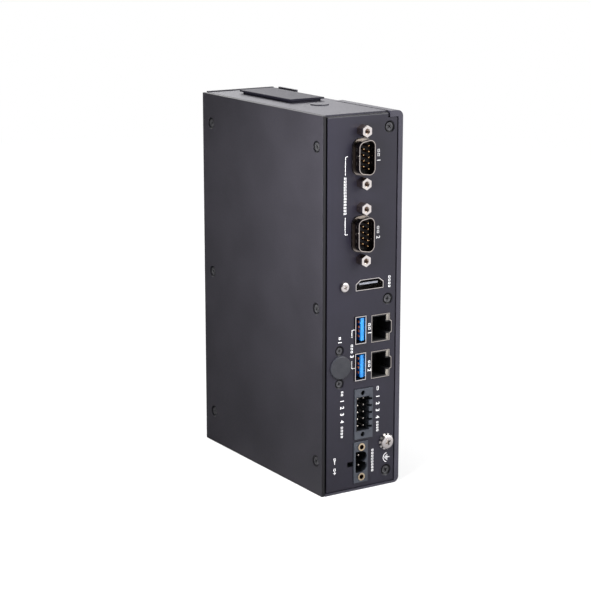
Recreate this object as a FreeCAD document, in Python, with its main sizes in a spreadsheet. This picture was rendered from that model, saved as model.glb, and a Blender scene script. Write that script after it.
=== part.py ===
import FreeCAD, Part
import math
import os
import Sketcher
from FreeCAD import Rotation, Vector

# Fanless industrial computer in millimetres.
# The origin is the centre of the flat base, +Z is up and the ports look towards -Y.
# Every place in the sheet is counted from one corner: x from the left outer face,
# y backwards from the front plane, and z up from the base.

doc = FreeCAD.newDocument("FanlessComputer")
sheet = doc.addObject("Spreadsheet::Sheet", "Sizes")

# Housing
HOUSING_SIZES = {
    "width": 45.5, "depth": 114, "height": 186, "corner_radius": 3, "edge_round": 0.4,
    "side_wall": 4.6, "top_wall": 1.6, "base_wall": 2.4, "rim": 2.55, "lip": 1.15,
    "lug_inset": 7.4, "lug_drop": 2.95, "lug_deep": 4, "wall_setback": 0.7, "seam": 0.5,
    "fin_depth": 3, "fin_slot": 3.2, "fin_count": 18, "fin_start": 9.5,
    "fin_low": 12, "fin_top": 14, "boss_inset": 11.1, "boss_depth": 9, "boss_half": 3.2,
    "post_radius": 3.4, "post_thread": 8, "bite": 0.5,
    "groove_wide": 1, "groove_deep": 1, "groove_end": 46, "recess_inset": 11.9, "recess_front": 48,
    "recess_end": 4, "recess_depth": 1.1, "tab_inset": 5.7, "tab_wall": 1.2, "tab_front": 27,
    "tab_rear": 10, "tab_rise": 1.4, "button_front": 37.8, "button_radius": 4.6, "button_rise": 0.5,
    "button_shift": 0.75,
}
# Room that the ports share: where each lies in the smallest row or stack, and its part of the rest
PLACE_SIZES = {
    "port_stack": 147, "port_spare": 39, "port_row": 36, "row_spare": 9.5,
    "com_upper_low": 131.08, "com_upper_rise": 34.32, "com_lower_low": 101.1, "com_lower_rise": 27.3,
    "video_low": 83.6, "video_rise": 19.5, "usb_upper_low": 75.3, "usb_upper_rise": 5.85,
    "usb_lower_low": 59.34, "usb_lower_rise": 3.51, "lan_upper_low": 74.75, "lan_upper_rise": 5.85,
    "lan_lower_low": 58.89, "lan_lower_rise": 3.51, "rim_screw_low": 93, "rim_screw_rise": 1.7,
    "com_left": 16.85, "com_run": 4.75, "video_left": 22.5, "video_run": 4.75, "usb_left": 15.81,
    "usb_run": 5.89, "io_left": 19.2, "io_run": 4.75, "power_left": 17.7, "power_run": 4.75,
    "board_left": 9.05, "board_run": 4.75,
    "lan_left_inset": 17, "lan_right_inset": 6.2,
}
# Sheet metal covers
COVER_SIZES = {
    "cover_wall": 1.6, "panel_wall": 1.5, "panel_gap_left": 0.95, "panel_gap_right": 0.85,
    "panel_gap_low": 0.55, "panel_gap_top": 0.8, "notch_inset": 8.6, "notch_drop": 3.1,
    "notch_round": 0.9, "bend_round": 0.7, "flange_depth": 12, "flange_gap": 0.4,
    "nut_radius": 3.6, "nut_wall": 1.5,
    "rear_lip": 0.5,
    "plate_left": 13.5, "plate_inset": 12.3, "plate_front": 50, "plate_end": 15,
    "plate_wall": 0.9, "plate_foot": 1, "plate_overhang": 1.3,
    "clip_wide": 8, "clip_wall": 1.2, "clip_drop": 4, "clip_inset": 10, "clip_gap": 0.2,
}
# Screws: countersunk ones, pan heads and their rows
SCREW_SIZES = {
    "head_radius": 2.45, "head_tall": 0.95, "head_sunk": 0.45, "shank_radius": 1.5, "screw_long": 5.5,
    "head_gap": 0.1, "thread_gap": 0.02, "side_screw_front": 5.7, "side_screw_rear": 8.7, "screw_low": 17,
    "screw_mid_rise": 0.2, "screw_top": 15, "front_screw_inset": 7.7, "front_screw_low": 7.5,
    "front_screw_top": 7.5, "pan_radius": 2.7, "pan_tall": 1.9,
    "small_pan_radius": 2.45, "small_pan_tall": 1.3, "panel_screw_z": 103.35,
    "cap_head_radius": 2.05, "cap_head_tall": 0.8, "cap_shank": 1.25, "cap_screw_long": 3,
    "ground_inset": 8, "ground_z": 22.4, "ground_shank": 2, "ground_head": 3.6, "ground_tall": 1.7,
    "ground_long": 8, "washer_radius": 4.1, "washer_wall": 0.5, "washer_teeth": 10, "tooth_gap": 1.2,
    "tooth_deep": 0.8,
}
# Serial ports
SERIAL_SIZES = {
    "shell_half": 4.18, "shell_tall": 8.46,
    "shell_lean": 1.47, "shell_wall": 0.38, "shell_reach": 5.2, "shell_radius": 2.6,
    "shoulder": 1.1, "shoulder_reach": 0.7, "flange_half": 6.27, "flange_tall": 15.4,
    "flange_sheet": 0.6, "jack_pitch": 25, "jack_across": 5, "jack_reach": 5, "jack_thread": 1.4,
    "jack_deep": 4.5, "jack_stud": 5, "pin_radius": 0.5, "pin_pitch": 2.77, "pin_rows": 2.84,
    "pin_reach": 4.3, "pin_back": 12.5, "core_face": 0.6, "block_tall": 9.6, "block_back": 12,
    "slip": 0.05,
}
# Video, bus and network ports
PORT_SIZES = {
    "video_half": 7.75, "video_tall": 2.35, "video_cut": 2.6, "video_slope": 1.9,
    "video_wall": 0.3, "video_back": 11, "video_face": 0.2, "video_tongue_half": 5.3,
    "video_tongue_wall": 0.9, "video_tongue_rise": 0.4, "video_tongue_face": 1.2, "port_block": 1.8,
    "usb_half": 3.15, "usb_tall": 6.85,
    "usb_wall": 0.35, "usb_reach": 0.7, "usb_back": 13, "usb_tongue_right": 0.7, "usb_tongue_wall": 1.75,
    "usb_tongue_tall": 5.6, "usb_tongue_face": 0.3, "usb_leg": 2, "usb_contact": 1,
    "usb_contact_proud": 0.15,
    "usb_contact_front": 1.6, "usb_contact_back": 9, "usb_contact_inner": 1, "usb_contact_outer": 3.5,
    "lan_bump": 1.2, "lan_tall": 6.8, "lan_bump_wide": 3.5, "lan_bump_narrow": 2.7,
    "lan_wall": 0.3, "lan_face": 0.15,
    "lan_back": 15, "lan_cavity_left": 0.6, "lan_cavity_right": 2.3, "lan_cavity_tall": 5.9,
    "lan_latch_tall": 2.6, "lan_cavity_deep": 12, "lan_insert_face": 0.3, "light_wide": 1.5,
    "light_low": 3.3, "light_high": 6.3, "light_deep": 9, "lan_wire_pitch": 1.02, "lan_wire": 0.45,
    "lan_wire_proud": 0.4, "lan_wire_front": 4, "tower_deep": 5, "port_gap": 0.2,
}
# Blanking cap and pluggable headers
HEADER_SIZES = {
    "cap_span": 16, "cap_inset": 7.85, "cap_z": 63.9, "cap_disc_radius": 5.7, "cap_wall": 1,
    "cap_step": 1.5, "cap_screw_shift": 0.4, "cap_screw_gap": 2.5, "bracket_web": 1, "bracket_end": 6.3,
    "io_z": 38.95, "io_half": 5.25, "io_tall": 12.65, "header_reach": 0.6,
    "header_back": 10, "io_cavity_left": 0.9, "io_cavity_right": 1.9, "io_cavity_tall": 8.6,
    "cavity_deep": 8, "io_pitch": 3.5, "io_rows": 5, "io_notch": 1.25, "io_notch_deep": 3.2,
    "io_hole_shift": 0.55, "io_hole_pitch": 21, "io_hole_radius": 1.2, "io_hole_deep": 7,
    "header_pin": 0.5, "header_pin_face": 2.1, "header_pin_back": 13,
    "io_pin_shift": 0.4, "power_z": 14.45, "power_half": 4.05, "power_tall": 10.45,
    "power_cavity_left": 0.9, "power_cavity_right": 1.2, "power_cavity_tall": 5.4, "lobe_radius": 2.55,
    "lobe_shift": 1.1, "power_pitch": 5.08, "power_pin_shift": 0.5, "power_pin": 0.6,
    "insert_shift": 0.2, "insert_pitch": 15.24, "insert_radius": 1.95, "insert_bore": 1.2,
    "insert_long": 6, "insert_proud": 0.35, "side_slot_long": 3.4, "side_slot_half": 1.25,
    "side_slot_z": 13.9, "side_slot_deep": 5,
}
# Mainboard and what sits on it
BOARD_SIZES = {
    "board_wall": 1.6, "board_front": 4, "board_end": 8, "board_low": 6, "board_top": 10,
    "post_front": 26, "post_end": 16, "post_low": 14, "post_top": 18, "board_screw_long": 7,
    "chip_y": 66, "chip_z": 118, "chip_side": 26, "chip_tall": 1.5, "pad_side": 22, "pad_tall": 1,
    "heat_block": 34, "memory_y": 58, "memory_z": 108, "memory_wide": 30, "memory_long": 67.6,
    "memory_socket": 6, "memory_lift": 3, "card_wall": 1, "memory_chip": 1.1,
    "storage_y": 44, "storage_z": 24, "storage_wide": 22, "storage_long": 42, "storage_lift": 2.2,
    "storage_socket": 5, "cell_end": 26, "cell_z": 50, "cell_radius": 10, "cell_tall": 3.2,
    "holder_wall": 1.4, "holder_half": 11.6, "capacitor_radius": 3.1, "capacitor_tall": 6.5,
    "capacitor_y": 36, "capacitor_z": 24, "capacitor_pitch": 9, "capacitor_count": 3,
    "choke_y": 50, "choke_z": 36, "choke_side": 12, "choke_tall": 6,
    "support_end": 26, "support_z": 72, "support_side": 12, "support_tall": 1.2, "support_pitch": 22,
    "rail_inset": 10.75, "rail_pitch_z": 60, "rail_top": 76, "rail_bore": 2, "rail_deep": 6.5,
    "rail_barrel": 2.9, "rail_cup": 3.8, "rail_cup_long": 6,
}


class Length:
    """A number kept together with the sheet expression that gives it."""

    def __init__(self, number, text):
        self.number = number
        self.text = text

    def __add__(self, other):
        other = as_length(other)
        return Length(self.number + other.number, f"({self.text} + {other.text})")

    def __sub__(self, other):
        other = as_length(other)
        return Length(self.number - other.number, f"({self.text} - {other.text})")

    def __mul__(self, other):
        other = as_length(other)
        return Length(self.number * other.number, f"({self.text} * {other.text})")

    def __truediv__(self, other):
        other = as_length(other)
        return Length(self.number / other.number, f"({self.text} / {other.text})")

    def __neg__(self):
        return Length(-self.number, f"(0 - {self.text})")


def as_length(value):
    if isinstance(value, Length):
        return value
    return Length(float(value), repr(float(value)))


class Sizes:
    """Reads the sheet, so that size.width stands for the cell called width."""

    def __getattr__(self, name):
        return Length(float(sheet.get(name)), "Sizes." + name)


def fill_sheet():
    row = 1
    groups = (HOUSING_SIZES, PLACE_SIZES, COVER_SIZES, SCREW_SIZES, SERIAL_SIZES, PORT_SIZES,
              HEADER_SIZES, BOARD_SIZES)
    for group in groups:
        for name, number in group.items():
            sheet.set(f"A{row}", name)
            sheet.set(f"B{row}", str(number))
            sheet.setAlias(f"B{row}", name)
            row += 1
    doc.recompute()


fill_sheet()
size = Sizes()
ZERO = as_length(0)
BACKWARDS = Rotation(Vector(1, 0, 0), -90)
RIGHTWARDS = Rotation(Vector(0, 1, 0), 90)
UPWARDS = Rotation()
NEAR = 0.05

# Places that several pieces share
centre_x = size.width / 2
inner_wall_x = size.width - size.side_wall
panel_left = size.cover_wall + size.panel_gap_left
panel_right = size.width - size.rim - size.panel_gap_right
panel_low = size.lip + size.panel_gap_low
panel_high = size.height - size.panel_gap_top
rear_seat = size.depth - size.panel_wall
lug_left = size.width - size.lug_inset
notch_left = size.width - size.notch_inset
plate_right = size.width - size.plate_inset
plate_rear = size.depth - size.plate_end
plate_middle = (size.plate_left + plate_right) / 2
tab_front = size.depth - size.tab_front

# Places that move with the spare width and height
stack_room = (size.height - size.port_stack) / size.port_spare
row_room = (size.width - size.port_row) / size.row_spare
com_heights = (size.com_upper_low + size.com_upper_rise * stack_room,
               size.com_lower_low + size.com_lower_rise * stack_room)
usb_heights = (size.usb_upper_low + size.usb_upper_rise * stack_room,
               size.usb_lower_low + size.usb_lower_rise * stack_room)
lan_heights = (size.lan_upper_low + size.lan_upper_rise * stack_room,
               size.lan_lower_low + size.lan_lower_rise * stack_room)
video_z = size.video_low + size.video_rise * stack_room
com_x = size.com_left + size.com_run * row_room
video_x = size.video_left + size.video_run * row_room
usb_x = size.usb_left + size.usb_run * row_room
io_x = size.io_left + size.io_run * row_room
power_x = size.power_left + size.power_run * row_room
lan_left = size.width - size.lan_left_inset
lan_right = size.width - size.lan_right_inset
front_screw_x = size.width - size.front_screw_inset
ground_x = size.width - size.ground_inset
cap_room = (usb_x - size.usb_half - panel_left) / size.cap_span
cap_x = panel_left + size.cap_inset * cap_room
cap_radius = size.cap_disc_radius * cap_room
cap_shaft = cap_radius - size.cap_step
cap_screw_x = cap_x - size.cap_screw_shift
cap_screw_heights = (size.cap_z - cap_radius - size.cap_screw_gap,
                     size.cap_z + cap_radius + size.cap_screw_gap)
screw_heights = (size.screw_low, size.height / 2 + size.screw_mid_rise, size.height - size.screw_top)
rim_screw_heights = (size.front_screw_low, size.rim_screw_low + size.rim_screw_rise * stack_room,
                     size.height - size.front_screw_top)
board_x = size.board_left + size.board_run * row_room
board_right = board_x + size.board_wall
panel_screw_x = board_x - size.shank_radius
post_places = [(y, z) for y in (size.post_front, size.depth - size.post_end)
               for z in (size.post_low, size.height - size.post_top)]

parts = []


def keep(name, thing):
    """Names a finished piece after its file."""
    thing.Label = name
    parts.append(thing)
    return thing


def bind(thing, path, value):
    thing.setExpression(path, as_length(value).text)


def place(thing, x, y, z):
    bind(thing, ".Placement.Base.x", as_length(x) - size.width / 2)
    bind(thing, ".Placement.Base.y", as_length(y) - size.depth / 2)
    bind(thing, ".Placement.Base.z", z)
    return thing


def block(name, x, y, z, across, deep, high):
    made = doc.addObject("Part::Box", name)
    bind(made, "Length", across)
    bind(made, "Width", deep)
    bind(made, "Height", high)
    return place(made, x, y, z)


def rod(name, x, y, z, radius, length, towards=BACKWARDS):
    made = doc.addObject("Part::Cylinder", name)
    made.Placement.Rotation = towards
    bind(made, "Radius", radius)
    bind(made, "Height", length)
    return place(made, x, y, z)


def cone(name, x, y, z, start_radius, end_radius, length, towards=BACKWARDS):
    made = doc.addObject("Part::Cone", name)
    made.Placement.Rotation = towards
    bind(made, "Radius1", start_radius)
    bind(made, "Radius2", end_radius)
    bind(made, "Height", length)
    return place(made, x, y, z)


def fuse(name, shapes):
    made = doc.addObject("Part::MultiFuse", name)
    made.Shapes = shapes
    return made


def group(name, shapes):
    made = doc.addObject("Part::Compound", name)
    made.Links = shapes
    return made


def cut(name, base, tools):
    made = doc.addObject("Part::Cut", name)
    made.Base = base
    made.Tool = tools[0] if len(tools) == 1 else fuse(name + "_tools", tools)
    return made


def new_body(name):
    return doc.addObject("PartDesign::Body", name)


def origin_plane(body, role):
    return next(plane for plane in body.Origin.OriginFeatures if plane.Role == role)


def draw(body, name, role, shift):
    """A sketch on an origin plane, its corner at the object's left, front or lower corner."""
    made = body.newObject("Sketcher::SketchObject", name)
    made.AttachmentSupport = [(origin_plane(body, role), "")]
    made.MapMode = "FlatFace"
    for letter, value in zip("xyz", shift):
        bind(made, ".AttachmentOffset.Base." + letter, value)
    return made


def front_sketch(body, name, y=ZERO):
    """Local axes: x to the right, z up, normal towards the viewer of the ports."""
    return draw(body, name, "XZ_Plane", (-(size.width / 2), ZERO, size.depth / 2 - y))


def side_sketch(body, name, x=ZERO):
    """Local axes: y backwards, z up, normal to the right."""
    return draw(body, name, "YZ_Plane", (-(size.depth / 2), ZERO, as_length(x) - size.width / 2))


def top_sketch(body, name, z=ZERO):
    """Local axes: x to the right, y backwards, normal up."""
    return draw(body, name, "XY_Plane", (-(size.width / 2), -(size.depth / 2), as_length(z)))


def hold(sketch, kind, geometry, point, value):
    value = as_length(value)
    made = sketch.addConstraint(Sketcher.Constraint(kind, -1, 1, geometry, point, value.number))
    bind(sketch, f"Constraints[{made}]", value)


def outline(sketch, points):
    """A closed run of straight lines whose corners are held from the sketch's origin."""
    first = sketch.GeometryCount
    count = len(points)
    rough = [Vector(as_length(across).number, as_length(up).number, 0) for across, up in points]
    for index in range(count):
        sketch.addGeometry(Part.LineSegment(rough[index], rough[(index + 1) % count]), False)
    for index in range(count):
        following = first + (index + 1) % count
        sketch.addConstraint(Sketcher.Constraint("Coincident", first + index, 2, following, 1))
    for index, (across, up) in enumerate(points):
        hold(sketch, "DistanceX", first + index, 1, across)
        hold(sketch, "DistanceY", first + index, 1, up)


def rectangle(sketch, left, low, right, high):
    outline(sketch, [(left, low), (right, low), (right, high), (left, high)])


def circle(sketch, across, up, radius):
    middle = Vector(as_length(across).number, as_length(up).number, 0)
    index = sketch.addGeometry(Part.Circle(middle, Vector(0, 0, 1), as_length(radius).number), False)
    made = sketch.addConstraint(Sketcher.Constraint("Radius", index, as_length(radius).number))
    bind(sketch, f"Constraints[{made}]", radius)
    hold(sketch, "DistanceX", index, 3, across)
    hold(sketch, "DistanceY", index, 3, up)


def pad(body, sketch, length, against_normal=False):
    made = body.newObject("PartDesign::Pad", sketch.Name + "_pad")
    made.Profile = sketch
    made.Reversed = against_normal
    bind(made, "Length", length)
    return made


def pocket(body, sketch, length, along_normal=False):
    """Cuts against the sketch's normal, or along it, and checks that something was cut."""
    doc.recompute()
    before = body.Shape.Volume
    made = body.newObject("PartDesign::Pocket", sketch.Name + "_pocket")
    made.Profile = sketch
    made.Reversed = along_normal
    bind(made, "Length", length)
    doc.recompute()
    if body.Shape.Volume > before - NEAR * NEAR:
        raise RuntimeError(sketch.Name + " cut nothing")
    return made


def countersinks(body, sketch, head, shank, along_normal=False):
    """Countersunk holes at the circles of a sketch, in which the screw's head lies a little deep."""
    doc.recompute()
    before = body.Shape.Volume
    made = body.newObject("PartDesign::Hole", sketch.Name + "_hole")
    made.Profile = sketch
    made.Reversed = along_normal
    made.DepthType = "ThroughAll"
    made.HoleCutType = "Countersink"
    made.HoleCutCountersinkAngle = 90
    bind(made, "Diameter", (shank + size.head_gap) * 2)
    bind(made, "HoleCutDiameter", (head + size.head_sunk + size.head_gap) * 2)
    doc.recompute()
    if body.Shape.Volume > before - NEAR:
        raise RuntimeError(sketch.Name + " cut nothing")
    return made


def corner(x, y, z):
    """A point of the part's own frame from lengths counted from the corner."""
    shift = Vector(-size.width.number / 2, -size.depth.number / 2, 0)
    return Vector(as_length(x).number, as_length(y).number, as_length(z).number) + shift


def edges_along(shape, axis, wanted):
    """Names of the straight edges along an axis whose middle passes the test."""
    names = []
    for index, edge in enumerate(shape.Edges, 1):
        if len(edge.Vertexes) < 2:
            continue
        run = edge.Vertexes[1].Point - edge.Vertexes[0].Point
        straight = run.Length > NEAR and abs(run.Length - edge.Length) < NEAR * NEAR
        if straight and abs(run.dot(axis)) > run.Length * (1 - NEAR * NEAR) and wanted(edge.CenterOfMass):
            names.append(f"Edge{index}")
    return names


def round_edges(body, base, name, radius, axis, wanted):
    doc.recompute()
    found = edges_along(base.Shape, axis, wanted)
    if not found:
        raise RuntimeError(name + " found no edge")
    made = body.newObject("PartDesign::Fillet", name)
    made.Base = (base, found)
    bind(made, "Radius", radius)
    doc.recompute()
    return made


def countersunk_screw(name, x, y, z, towards, head=None, tall=None, shank=None, long=None):
    """A countersunk screw whose head lies a little below the point given."""
    head = head or size.head_radius
    tall = tall or size.head_tall
    shank = shank or size.shank_radius
    long = long or size.screw_long
    if towards == BACKWARDS:
        y = as_length(y) + size.head_sunk
    else:
        x = as_length(x) + size.head_sunk
    cone_part = cone(name + "_head", x, y, z, head, shank, tall, towards)
    return fuse(name, [cone_part, rod(name + "_shank", x, y, z, shank, long, towards)])


def pan_screw(name, x, y, z, head, tall, shank, long, towards=BACKWARDS):
    """A pan head screw whose head stands on the point given, with its shank beyond it."""
    if towards == BACKWARDS:
        head_part = rod(name + "_head", x, as_length(y) - tall, z, head, tall, towards)
    else:
        head_part = rod(name + "_head", as_length(x) - tall, y, z, head, tall, towards)
    rounded = doc.addObject("Part::Fillet", name + "_round")
    rounded.Base = head_part
    doc.recompute()
    radius = as_length(tall).number / 2
    rounded.Edges = [(outer_rim(head_part.Shape), radius, radius)]
    return fuse(name, [rounded, rod(name + "_shank", x, y, z, shank, long, towards)])


def outer_rim(shape):
    """Number of the circle that lies nearest to the viewer of a disc or a head."""
    def order(number):
        edge = shape.Edges[number - 1]
        middle = edge.BoundBox.Center
        return (len(edge.Vertexes) != 1, round(middle.x + middle.y, 3))

    return min(range(1, len(shape.Edges) + 1), key=order)


# Heat sink housing: one aluminium piece with the right wall, its fins, the top and the base

def make_housing():
    body = new_body("housing")
    left = size.cover_wall + size.seam
    section = front_sketch(body, "housing_section")
    outline(section, [
        (left, ZERO), (size.width, ZERO), (size.width, size.height), (left, size.height),
        (left, size.height - size.top_wall), (inner_wall_x, size.height - size.top_wall),
        (inner_wall_x, size.base_wall), (left, size.base_wall),
    ])
    walls = pad(body, section, size.depth, True)
    outer_x = size.width.number / 2
    round_edges(body, walls, "housing_corners", size.corner_radius, Vector(0, 1, 0),
                lambda middle: abs(middle.x - outer_x) < NEAR)
    make_housing_seats(body)
    make_fins(body)
    make_housing_mounts(body)
    make_top_recess(body)
    return keep("heatsink_housing", body)


def make_housing_seats(body):
    """Steps that take the front and rear panels, and leave the rim, the lip and the lug."""
    beyond = size.height + 1
    lug_floor = size.height - size.lug_drop
    seat = front_sketch(body, "front_seat")
    outline(seat, [
        (ZERO, size.lip), (size.width - size.rim, size.lip), (size.width - size.rim, lug_floor),
        (lug_left, lug_floor), (lug_left, beyond), (ZERO, beyond),
    ])
    pocket(body, seat, size.panel_wall)
    lug = front_sketch(body, "front_lug")
    rectangle(lug, lug_left, lug_floor, inner_wall_x + size.bite,
              size.height - size.top_wall + size.bite)
    pad(body, lug, size.lug_deep, True)
    setback = front_sketch(body, "top_setback", size.panel_wall)
    rectangle(setback, ZERO, size.height - size.top_wall - 1, lug_left, beyond)
    pocket(body, setback, size.wall_setback)
    back = front_sketch(body, "rear_seat", rear_seat)
    rectangle(back, ZERO, size.lip, size.width - size.rim, beyond)
    pocket(body, back, size.panel_wall)


def make_fins(body):
    """Upright slots in the right wall leave the cooling fins between them."""
    slot = side_sketch(body, "fin_slot", size.width)
    rectangle(slot, size.fin_start, size.fin_low, size.fin_start + size.fin_slot,
              size.height - size.fin_top)
    first = pocket(body, slot, size.fin_depth)
    row = body.newObject("PartDesign::LinearPattern", "fin_row")
    row.Originals = [first]
    row.Direction = (slot, ["H_Axis"])
    row.Mode = "Spacing"
    bind(row, "Offset", (size.depth - size.fin_start * 2 - size.fin_slot) / (size.fin_count - 1))
    bind(row, "Occurrences", size.fin_count)
    body.Tip = row
    doc.recompute()


def make_housing_mounts(body):
    """Bosses for the panel screws, posts for the mainboard and the block over the processor."""
    boss_right = inner_wall_x + size.bite
    boss_heights = rim_screw_heights + (size.ground_z,)
    for name, y, heights in (("front_boss", size.panel_wall, boss_heights),
                             ("rear_boss", rear_seat - size.boss_depth, rim_screw_heights)):
        bosses = front_sketch(body, name, y)
        for z in heights:
            rectangle(bosses, size.width - size.boss_inset, z - size.boss_half,
                      boss_right, z + size.boss_half)
        pad(body, bosses, size.boss_depth, True)
    thread = size.shank_radius + size.thread_gap
    threads = front_sketch(body, "front_threads", size.panel_wall)
    for z in rim_screw_heights:
        circle(threads, front_screw_x, z, thread)
    circle(threads, ground_x, size.ground_z, size.ground_shank + size.thread_gap)
    pocket(body, threads, size.boss_depth - 1)
    rear_threads = front_sketch(body, "rear_threads", rear_seat - size.boss_depth + 1)
    for z in rim_screw_heights:
        circle(rear_threads, front_screw_x, z, thread)
    pocket(body, rear_threads, size.boss_depth)
    posts = side_sketch(body, "board_posts", inner_wall_x + size.bite)
    for y, z in post_places:
        circle(posts, y, z, size.post_radius)
    pad(body, posts, inner_wall_x + size.bite - board_right, True)
    post_threads = side_sketch(body, "post_threads", board_right)
    for y, z in post_places:
        circle(post_threads, y, z, thread)
    pocket(body, post_threads, size.post_thread, True)
    heat = side_sketch(body, "heat_block", inner_wall_x + size.bite)
    half = size.heat_block / 2
    rectangle(heat, size.chip_y - half, size.chip_z - half, size.chip_y + half, size.chip_z + half)
    pad(body, heat, inner_wall_x + size.bite - board_right - size.chip_tall - size.pad_tall, True)


def make_top_recess(body):
    """The top's button, its groove and right step, the upright tab at the rear and the clip slots."""
    beyond = size.width + 1
    button = top_sketch(body, "top_button", size.height)
    circle(button, plate_middle - size.button_shift, size.button_front, size.button_radius)
    pad(body, button, size.button_rise)
    groove = top_sketch(body, "top_groove", size.height)
    rectangle(groove, lug_left - size.groove_wide, -size.bite, lug_left, size.groove_end)
    pocket(body, groove, size.groove_deep)
    recess = top_sketch(body, "top_recess", size.height)
    rectangle(recess, size.width - size.recess_inset, size.recess_front, beyond,
              size.depth - size.recess_end)
    pocket(body, recess, size.recess_depth)
    tab = top_sketch(body, "top_tab", size.height - size.recess_depth - size.bite)
    left = size.width - size.tab_inset
    rectangle(tab, left, tab_front, left + size.tab_wall, size.depth - size.tab_rear)
    pad(body, tab, size.bite + size.recess_depth + size.tab_rise)
    slots = top_sketch(body, "clip_slots", size.height)
    half = size.clip_wide / 2 + size.clip_gap
    for y in clip_places():
        rectangle(slots, plate_middle - half, y - size.clip_gap,
                  plate_middle + half, y + size.clip_wall + size.clip_gap)
    pocket(body, slots, size.top_wall + 1)


def clip_places():
    return size.plate_front + size.clip_inset, plate_rear - size.clip_inset - size.clip_wall


# Left cover: a flat sheet with six countersunk holes

def side_screw_places():
    rows = (size.side_screw_front, size.depth - size.side_screw_rear)
    return [(y, z) for y in rows for z in screw_heights]


def make_left_cover():
    body = new_body("cover")
    sheet_side = side_sketch(body, "cover_sheet")
    rectangle(sheet_side, ZERO, ZERO, size.depth, size.height)
    flat = pad(body, sheet_side, size.cover_wall)
    outer_x = -size.width.number / 2
    for name, axis in (("cover_upright_rounds", Vector(0, 0, 1)), ("cover_level_rounds", Vector(0, 1, 0))):
        flat = round_edges(body, flat, name, size.edge_round, axis,
                           lambda middle: abs(middle.x - outer_x) < NEAR * 4)
    holes = side_sketch(body, "cover_holes")
    for y, z in side_screw_places():
        circle(holes, y, z, size.shank_radius)
    countersinks(body, holes, size.head_radius, size.shank_radius, True)
    screws = [countersunk_screw(f"cover_screw_{index}", ZERO, y, z, RIGHTWARDS)
              for index, (y, z) in enumerate(side_screw_places())]
    keep("left_cover", body)
    keep("left_cover_screws", group("cover_screws", screws))


# Front and rear panels: folded sheets with a flange that takes the cover's screws

def make_flange(body, name, y, screw_y):
    """The stepped fold that the cover lies on, with a raised nut behind each of its screws."""
    left = size.cover_wall
    right = left + size.panel_wall
    fold = front_sketch(body, name, y)
    rectangle(fold, left, size.base_wall + size.flange_gap, right,
              size.height - size.top_wall - size.flange_gap)
    pad(body, fold, size.flange_depth, True)
    nuts = side_sketch(body, name + "_nuts", right)
    threads = side_sketch(body, name + "_threads", left)
    for z in screw_heights:
        circle(nuts, screw_y, z, size.nut_radius)
        circle(threads, screw_y, z, size.shank_radius + size.thread_gap)
    pad(body, nuts, size.nut_wall)
    pocket(body, threads, size.panel_wall + size.nut_wall + 1, True)


def d_points(x, z, grow=ZERO):
    """The serial port's outline: its long side on the right, grown by a margin all round."""
    half = size.shell_half + grow
    tall = size.shell_tall + grow
    short = tall - size.shell_lean
    return [(x - half, z - short), (x + half, z - tall), (x + half, z + tall), (x - half, z + short)]


def lan_points(z, grow=ZERO):
    """The network port's outline with the latch's bump on the right."""
    left = lan_left - grow
    right = lan_right + grow
    bump = right + size.lan_bump
    tall = size.lan_tall + grow
    wide = size.lan_bump_wide + grow
    narrow = size.lan_bump_narrow + grow
    return [(left, z - tall), (right, z - tall), (right, z - wide), (bump, z - narrow),
            (bump, z + narrow), (right, z + wide), (right, z + tall), (left, z + tall)]


def video_points(grow=ZERO):
    """The video port's outline with its wide side below."""
    left = video_x - size.video_half - grow
    right = video_x + size.video_half + grow
    low = video_z - size.video_tall - grow
    high = video_z + size.video_tall + grow
    across = size.video_cut
    down = size.video_slope
    return [(left, low), (right, low), (right, high - down), (right - across, high),
            (left + across, high), (left, high - down)]


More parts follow.
